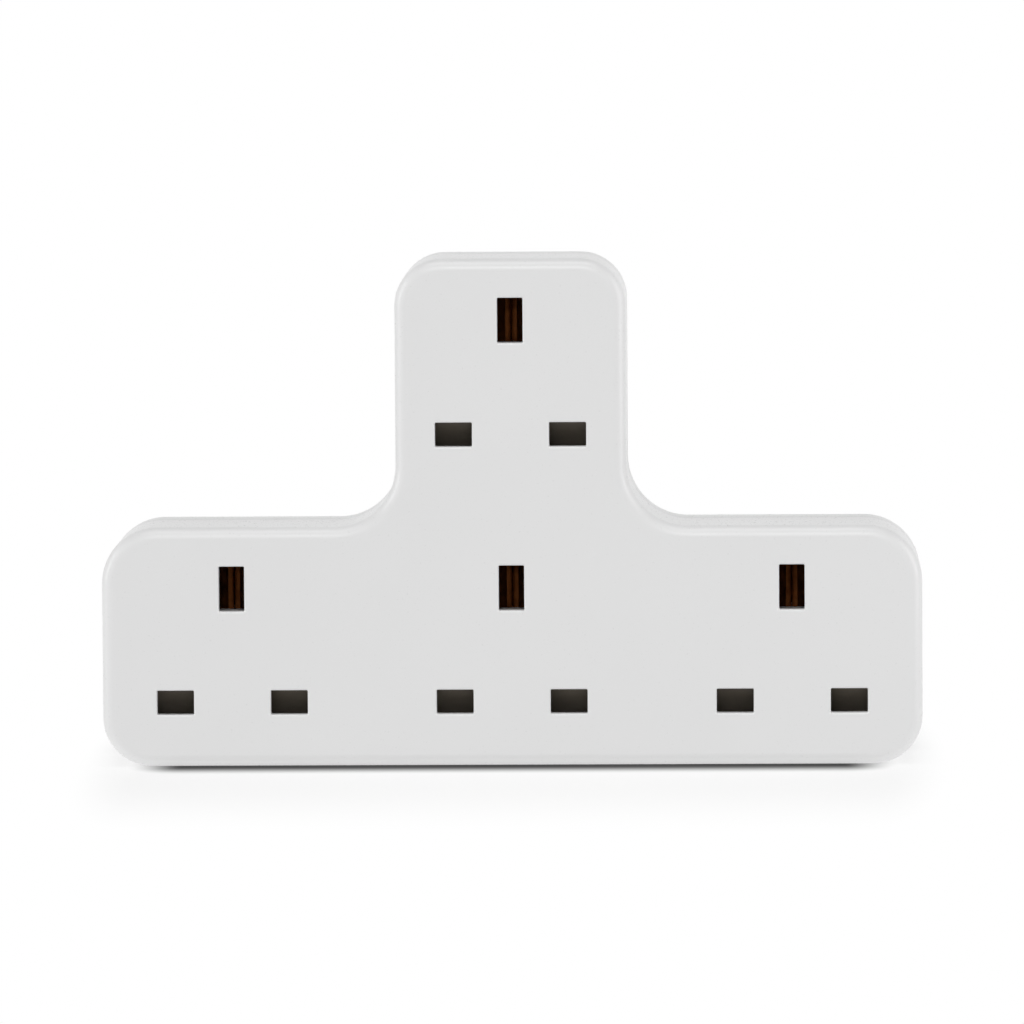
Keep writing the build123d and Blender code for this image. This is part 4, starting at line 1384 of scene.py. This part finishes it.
@dataclass
class Plug:
    """Three brass pins, and the black sleeves at the root of line and neutral.

    Attributes:
        housing: Housing whose boss holds the pins.
        tip_fullness: Power of the superellipse that rounds a tip, 1 for a bevel and 2 for a circle.
        collar: Length of the collar that stops a pin behind the boss's wall.
        tenon: Side of the square tenon that is riveted in the busbar.
        sleeve_corner: Least radius of the sleeve's inner corners.
        break_edge: Bevel at the ends of each run of a pin.
    """

    housing: Housing
    thickness: float = 4.0
    live_width: float = 6.35
    earth_width: float = 8.0
    corner: float = 0.55
    corner_steps: int = 4
    tip: float = 1.2
    tip_fullness: float = 1.35
    tip_rows: int = 9
    collar: float = 2.2
    collar_lip: float = 1.5
    tenon: float = 2.6
    tenon_corner: float = 0.3
    tenon_length: float = 1.1
    line_tenon_length: float = 0.9
    sleeve: float = 0.5
    sleeve_root: float = 1.4
    sleeve_reach: float = 9.5
    sleeve_edge: float = 0.2
    sleeve_corner: float = 0.1
    break_edge: float = 0.12

    def tip_section(self) -> np.ndarray:
        """Section of a tip: a quarter of a superellipse that is a little fuller than a bevel.

        Returns:
            (rows, 2) insets from the sides, and distances from the end.
        """
        angle = np.linspace(0, pi / 2, self.tip_rows)
        power = 2 / self.tip_fullness
        return self.tip * np.stack([1 - np.cos(angle) ** power, 1 - np.sin(angle) ** power], axis=1)

    def run(self, extra: float, start: float, stop: float) -> list[Pair]:
        """Growth and depth along a straight run, whose two ends are broken by a small bevel."""
        edge = self.break_edge
        return [(extra - edge, start), (extra, start + edge), (extra, stop - edge), (extra - edge, stop)]

    def pin(self, node: str, tenon_length: float, sleeved: bool) -> Piece:
        """Make one pin: a rounded rectangle carried from the tenon out to the tip, growing and shrinking.

        Args:
            node: CAD node that the pin stands for.
            tenon_length: Length of its tenon.
            sleeved: Whether the pin is cut back under a sleeve.

        Returns:
            The pin.
        """
        low, high = node_box(node)
        x, _, z = (low + high) / 2
        width, height = (self.live_width, self.thickness) if sleeved else (self.thickness, self.earth_width)
        root, end = low[1] - FACE_Y, high[1] - FACE_Y
        shoulder, face = root + tenon_length, self.housing.plug_face
        inside, cut = face - self.housing.boss_wall, face - self.sleeve_root
        sleeve_end = face + self.sleeve_reach
        rows = self.run(0.0, shoulder, inside - self.collar)
        rows += self.run(self.collar_lip, inside - self.collar, inside)
        if sleeved:
            rows += self.run(0.0, inside, cut) + self.run(-self.sleeve, cut, sleeve_end)
            rows += [(-self.break_edge, sleeve_end), (0.0, sleeve_end + self.break_edge)]
        else:
            rows += [(0.0, inside)]
        grow, depth = np.vstack([rows, (0, end) - self.tip_section()]).T
        body = rectangles(x, z, width + 2 * grow, height + 2 * grow, self.corner, self.corner_steps)
        square = np.repeat(self.tenon, 2)
        stub = rectangles(x, z, square, square, self.tenon_corner, self.corner_steps)
        skin = Skin()
        skin.rings(stand(stub, [root, shoulder + self.break_edge]), Ends.LIDS)
        skin.rings(stand(body, depth), Ends.LIDS)
        return skin.make(f"{node}_bar")

    def sleeve_tube(self, node: str) -> Piece:
        """Make one sleeve: a closed section, outer wall and inner wall, carried round the pin.

        Args:
            node: CAD node that the sleeve stands for.

        Returns:
            The sleeve.
        """
        low, high = node_box(node)
        x, _, z = (low + high) / 2
        root, end = low[1] - FACE_Y, high[1] - FACE_Y
        edge = round_edge(self.sleeve_edge, steps=3) * (1, -1) + (0, end)
        inset, depth = np.vstack([(0.0, root), edge, (self.sleeve, end), (self.sleeve, root)]).T
        width, height = self.live_width - 2 * inset, self.thickness - 2 * inset
        corner = np.maximum(self.corner - inset, self.sleeve_corner)
        flat = rectangles(x, z, width, height, corner, self.corner_steps)
        return one_surface(f"{node}_moulding", stand(flat, depth), Ends.JOINED)

    def build(self) -> None:
        """Make the pins and their sleeves."""
        seat(self.pin("earth_pin", self.tenon_length, sleeved=False), "earth_pin")
        for pole, tenon_length in (("neutral", self.tenon_length), ("line", self.line_tenon_length)):
            seat(self.pin(f"{pole}_pin", tenon_length, sleeved=True), f"{pole}_pin")
            seat(self.sleeve_tube(f"{pole}_pin_sleeve"), f"{pole}_pin_sleeve")


@dataclass
class FuseDrawer:
    """Cartridge fuse in its carrier: a ceramic tube, two nickel caps, and the clips that hold them."""

    tube_edge: float = 0.25
    cap_sheet: float = 0.3
    cap_round: float = 0.45
    crimp: float = 0.16
    crimp_at: float = 1.1
    crimp_half: float = 0.35
    skirt_rows: int = 30
    columns: int = 64
    carrier_edge: float = 0.25
    clip_edge: float = 0.1

    def turned(self, node: str, form: str, reach: np.ndarray, radii: np.ndarray) -> Piece:
        """Turn a section about the fuse's axis, which runs along X, and close it with two lids.

        Args:
            node: CAD node that the piece stands for, and that gives the axis.
            form: Word that the piece's name ends with.
            reach: (rows,) places along X.
            radii: (rows,) distances from the axis.

        Returns:
            The turned piece.
        """
        _, y, z = sum(node_box(node)) / 2
        angle = full_turn(self.columns)[None, :]
        along = np.repeat(reach[:, None], self.columns, axis=1)
        rings = [along, y + radii[:, None] * np.cos(angle), z + radii[:, None] * np.sin(angle)]
        return one_surface(f"{node}_{form}", np.stack(rings, axis=-1), Ends.LIDS)

    def tube(self, node: str) -> Piece:
        """Turn the ceramic tube, with its ends broken.

        Args:
            node: CAD node that the tube stands for.

        Returns:
            The tube.
        """
        low, high = node_box(node)
        edge = round_edge(self.tube_edge, steps=4)
        reach = np.concatenate([low[0] + edge[::-1, 1], high[0] - edge[:, 1]])
        radii = (high[2] - low[2]) / 2 - np.concatenate([edge[::-1, 0], edge[:, 0]])
        return self.turned(node, "ceramic", reach, radii)

    def cap(self, node: str) -> Piece:
        """Turn one drawn cap: a rounded closed end, and a groove where its skirt is crimped to the tube.

        The section runs from the closed end's face along the skirt and back inside. The groove is a
        cosine dip in the skirt's radius.

        Args:
            node: CAD node that the cap stands for.

        Returns:
            The cap.
        """
        low, high = node_box(node)
        radius, long = (high[2] - low[2]) / 2, high[0] - low[0]
        edge = round_edge(self.cap_round, steps=5)[:0:-1]
        skirt = np.linspace(self.cap_round, long, self.skirt_rows)
        dip = np.clip(np.abs(skirt - long + self.crimp_at) / self.crimp_half, 0, 1)
        outer = radius - self.crimp * (1 + np.cos(pi * dip)) / 2
        away = np.concatenate([edge[:, 1], skirt, [long, self.cap_sheet]])
        radii = np.concatenate([radius - edge[:, 0], outer, np.repeat(radius - self.cap_sheet, 2)])
        return self.turned(node, "drawn", high[0] - away if high[0] > 0 else low[0] + away, radii)

    def build(self) -> None:
        """Turn the fuse, and round the edges of its carrier and clips."""
        seat(self.tube("fuse_tube"), "fuse_tube")
        for end in ("supply", "load"):
            seat(self.cap(f"fuse_cap_{end}"), f"fuse_cap_{end}")
            seat_rounded(f"fuse_clip_{end}", "pressing", self.clip_edge)
        seat_rounded("fuse_carrier", "moulding", self.carrier_edge)


@dataclass(frozen=True)
class Patch:
    """A soft-edged patch on the floor: even inside a box, and fading out with the distance from it.

    Attributes:
        strength: Value inside the box.
        behind: How far the middle of the box lies behind the origin.
        half: Half width and half depth of the box.
        squeeze: How many times faster the patch fades sideways.
        fade: Distances from the box at which the fade starts and ends.
    """

    strength: float
    behind: float
    half: Pair
    squeeze: float
    fade: Pair

    def value(self, tree: NodeTree) -> Socket:
        """Fold the floor onto one quarter, take off the box, measure what is left and fade with it.

        Args:
            tree: Node tree of the floor's material.

        Returns:
            Socket with the patch's value at each place.
        """
        spot = add_node(tree, "ShaderNodeTexCoord").outputs["Object"]
        for operation, vector in (
            ("ADD", (0.0, -self.behind * MM, 0.0)),
            ("ABSOLUTE", (0.0, 0.0, 0.0)),
            ("SUBTRACT", (self.half[0] * MM, self.half[1] * MM, 0.0)),
            ("MAXIMUM", (0.0, 0.0, 0.0)),
            ("MULTIPLY", (self.squeeze, 1.0, 0.0)),
        ):
            settings = {"operation": operation, 1: vector}
            spot = add_node(tree, "ShaderNodeVectorMath", settings, {0: spot}).outputs[0]
        reach = add_node(tree, "ShaderNodeVectorMath", {"operation": "LENGTH"}, {0: spot})
        faded = add_node(
            tree,
            "ShaderNodeMapRange",
            {
                "interpolation_type": "SMOOTHSTEP",
                "From Min": self.fade[0] * MM,
                "From Max": self.fade[1] * MM,
                "To Min": self.strength,
                "To Max": 0.0,
            },
            {"Value": reach.outputs["Value"]},
        )
        return faded.outputs[0]


@dataclass(frozen=True)
class Softbox:
    """A rectangular lamp that faces the object.

    A white surface that faces the lamp gets a share of full white from it: the lamp's power is the
    share times pi squared times the distance squared, in metres.

    Attributes:
        name: The lamp's name.
        azimuth: Degrees round from the camera's side, positive to the right.
        elevation: Degrees above the floor.
        distance: Distance from the aim.
        size: Width and height.
        share: Share of full white.
    """

    name: str
    azimuth: float
    elevation: float
    distance: float
    size: Pair
    share: float

    def hang(self, aim: Vector) -> None:
        """Hang the lamp at its distance from the aim, and turn it that way.

        Args:
            aim: Point that the lamp faces, in metres.
        """
        turn, rise, far = radians(self.azimuth), radians(self.elevation), self.distance * MM
        away = Vector((sin(turn) * cos(rise), -cos(turn) * cos(rise), sin(rise)))
        light = bpy.data.lights.new(self.name, "AREA")
        light.shape = "RECTANGLE"
        light.size = self.size[0] * MM
        light.size_y = self.size[1] * MM
        light.energy = self.share * (pi * far) ** 2
        lamp = put(self.name, light)
        lamp.location = aim + away * far
        lamp.rotation_euler = away.to_track_quat("Z", "Y").to_euler()


# A large lamp above and one over the camera, and at the sides lamps that draw the round edges
SOFTBOXES = (
    Softbox("softbox_top", azimuth=0.0, elevation=78.0, distance=1100.0, size=(900.0, 500.0), share=0.29),
    Softbox("softbox_front", azimuth=0.0, elevation=34.0, distance=1300.0, size=(600.0, 360.0), share=0.2),
    Softbox("softbox_left", azimuth=-78.0, elevation=8.0, distance=1500.0, size=(450.0, 1500.0), share=0.4),
    Softbox("strip_left", azimuth=-46.0, elevation=8.0, distance=1000.0, size=(80.0, 1000.0), share=0.09),
    Softbox("softbox_right", azimuth=73.0, elevation=8.0, distance=600.0, size=(260.0, 700.0), share=0.43),
)


@dataclass
class Studio:
    """Camera at the photograph's viewing angle, soft lamps, and a pale floor in a white surround.

    Attributes:
        distance: Camera to aim.
        aim: Point that the camera looks at and the lamps face.
        yaw: How far the view turns to the right of +Y, in degrees.
        pitch: How far the view tilts down, in degrees.
        roll: How far the camera's right side is lifted, in degrees.
        focal_px: Focal length in pixels of the photograph's frame.
        image_px: Width of that frame.
        sensor: Width of the camera's sensor.
        ambient: Strength of the surround's light on the object.
        floor_radius: Radius of the floor.
        floor_gap: Room between the floor and the base.
        floor_grid: Rings and sides of the floor.
        bounce: Strength of the light that the floor throws back on the object.
        lit: Share of the floor's picture that takes the light and the shadows, and isn't plain white.
        shaded: Where the floor is paper, before it turns to the plain white of the surround.
        contact: Painted shadow: darkness painted on the paper under the base and in front of it.
    """

    distance: float = 1750.0
    aim: tuple[float, float, float] = (-0.157, -0.123, 48.523)
    yaw: float = -1.496
    pitch: float = 4.616
    roll: float = -0.365
    focal_px: float = 8918.9
    image_px: float = 1024.0
    sensor: float = 36.0
    ambient: float = 0.18
    floor_radius: float = 1500.0
    floor_gap: float = 0.02
    floor_grid: tuple[int, int] = (24, 96)
    bounce: float = 1.01
    lit: float = 0.4
    shaded: Patch = Patch(strength=1.0, behind=0.0, half=(70.0, 0.0), squeeze=8.0, fade=(30.0, 125.0))
    # Painted contact shadow on the paper, placed by position and not cast by a lamp
    contact: Patch = Patch(strength=0.92, behind=-5.0, half=(64.5, 10.2), squeeze=1.18, fade=(0.0, 13.0))

    def place_camera(self) -> None:
        """Stand the camera behind its aim, with axes turned by yaw, pitch and roll."""
        yaw, pitch, roll = (radians(a) for a in (self.yaw, self.pitch, self.roll))
        forward = Vector((sin(yaw) * cos(pitch), cos(yaw) * cos(pitch), -sin(pitch)))
        level = Vector((cos(yaw), -sin(yaw), 0))
        upright = level.cross(forward)
        right = level * cos(roll) + upright * sin(roll)
        up = upright * cos(roll) - level * sin(roll)
        lens = bpy.data.cameras.new("camera")
        lens.sensor_width = self.sensor
        lens.lens = self.focal_px / self.image_px * self.sensor
        camera = put("camera", lens)
        turn = Matrix((right, up, -forward)).transposed()
        centre = Vector(self.aim) * MM - forward * self.distance * MM
        camera.matrix_world = Matrix.Translation(centre) @ turn.to_4x4()
        bpy.context.scene.camera = camera

    @staticmethod
    def seen(tree: NodeTree) -> Socket:
        """Give 1 for rays that end in the picture by eye, mirror or glass, and 0 for light on surfaces.

        Args:
            tree: Node tree of the surround or the floor.

        Returns:
            Socket with 1 or 0.
        """
        path = add_node(tree, "ShaderNodeLightPath").outputs
        seen = path["Is Camera Ray"]
        for ray in ("Is Glossy Ray", "Is Transmission Ray"):
            links = {0: seen, 1: path[ray]}
            seen = add_node(tree, "ShaderNodeMath", {"operation": "MAXIMUM"}, links).outputs[0]
        return seen

    def light_surround(self) -> None:
        """Give the world a plain white for the eye and a lower even light for the object."""
        world = bpy.data.worlds.new("white_surround")
        bpy.context.scene.world = world
        world.use_nodes = True
        tree = world.node_tree
        tree.nodes.clear()
        even, white = (
            add_node(tree, "ShaderNodeBackground", {"Strength": strength, "Color": (1, 1, 1, 1)}).outputs[0]
            for strength in (self.ambient, 1.0)
        )
        mixed = add_node(tree, "ShaderNodeMixShader", {}, {0: self.seen(tree), 1: even, 2: white})
        add_node(tree, "ShaderNodeOutputWorld", {}, {0: mixed.outputs[0]})

    def lay_floor(self) -> None:
        """Lay a round paper floor just under the base: a polar grid of radius times angle."""
        rings, sides = self.floor_grid
        radius, angle = np.linspace(0, self.floor_radius, rings)[:, None], full_turn(sides)[None, :]
        flat = [radius * np.cos(angle), radius * np.sin(angle), np.full((rings, sides), -self.floor_gap)]
        floor = one_surface("studio_floor", np.stack(flat, axis=-1), Ends.OPEN)
        floor.data.materials.append(self.paper())

    def paper(self) -> bpy.types.Material:
        """White paper that takes the lamps' shadows and a painted contact shadow, and turns to plain white
        further out.

        Returns:
            The floor's material.
        """
        paper = bpy.data.materials.new("paper_matt_white")
        paper.use_nodes = True
        tree = paper.node_tree
        tree.nodes.clear()
        # The painted contact shadow darkens both the paper's glow and its colour
        settings = {"operation": "SUBTRACT", 0: 1.0}
        clear = add_node(tree, "ShaderNodeMath", settings, {1: self.contact.value(tree)}).outputs[0]
        glow = add_node(tree, "ShaderNodeEmission", {}, {"Strength": clear}).outputs[0]
        matt = add_node(tree, "ShaderNodeBsdfDiffuse", {}, {"Color": clear}).outputs[0]
        shadowed = add_node(tree, "ShaderNodeMixShader", {0: self.lit}, {1: glow, 2: matt}).outputs[0]
        white, bounce = (
            add_node(tree, "ShaderNodeEmission", {"Strength": strength}).outputs[0]
            for strength in (1.0, self.bounce)
        )
        links = {0: self.shaded.value(tree), 1: white, 2: shadowed}
        picture = add_node(tree, "ShaderNodeMixShader", {}, links).outputs[0]
        mixed = add_node(tree, "ShaderNodeMixShader", {}, {0: self.seen(tree), 1: bounce, 2: picture})
        add_node(tree, "ShaderNodeOutputMaterial", {}, {0: mixed.outputs[0]})
        return paper

    def build(self) -> None:
        """Set up camera, lamps, surround and floor."""
        self.place_camera()
        for lamp in SOFTBOXES:
            lamp.hang(Vector(self.aim) * MM)
        self.light_surround()
        self.lay_floor()


def main() -> None:
    """Build the sub-assemblies in order, then the studio round them."""
    logging.basicConfig(level=logging.INFO, format="%(message)s")
    housing = Housing()
    housing.build()
    HousingScrews(housing).build()
    ShutterGear().build()
    Wiring().build()
    Plug(housing).build()
    FuseDrawer().build()
    Studio().build()
    bpy.context.scene.view_settings.view_transform = "Standard"


if __name__ == "__main__":
    main()
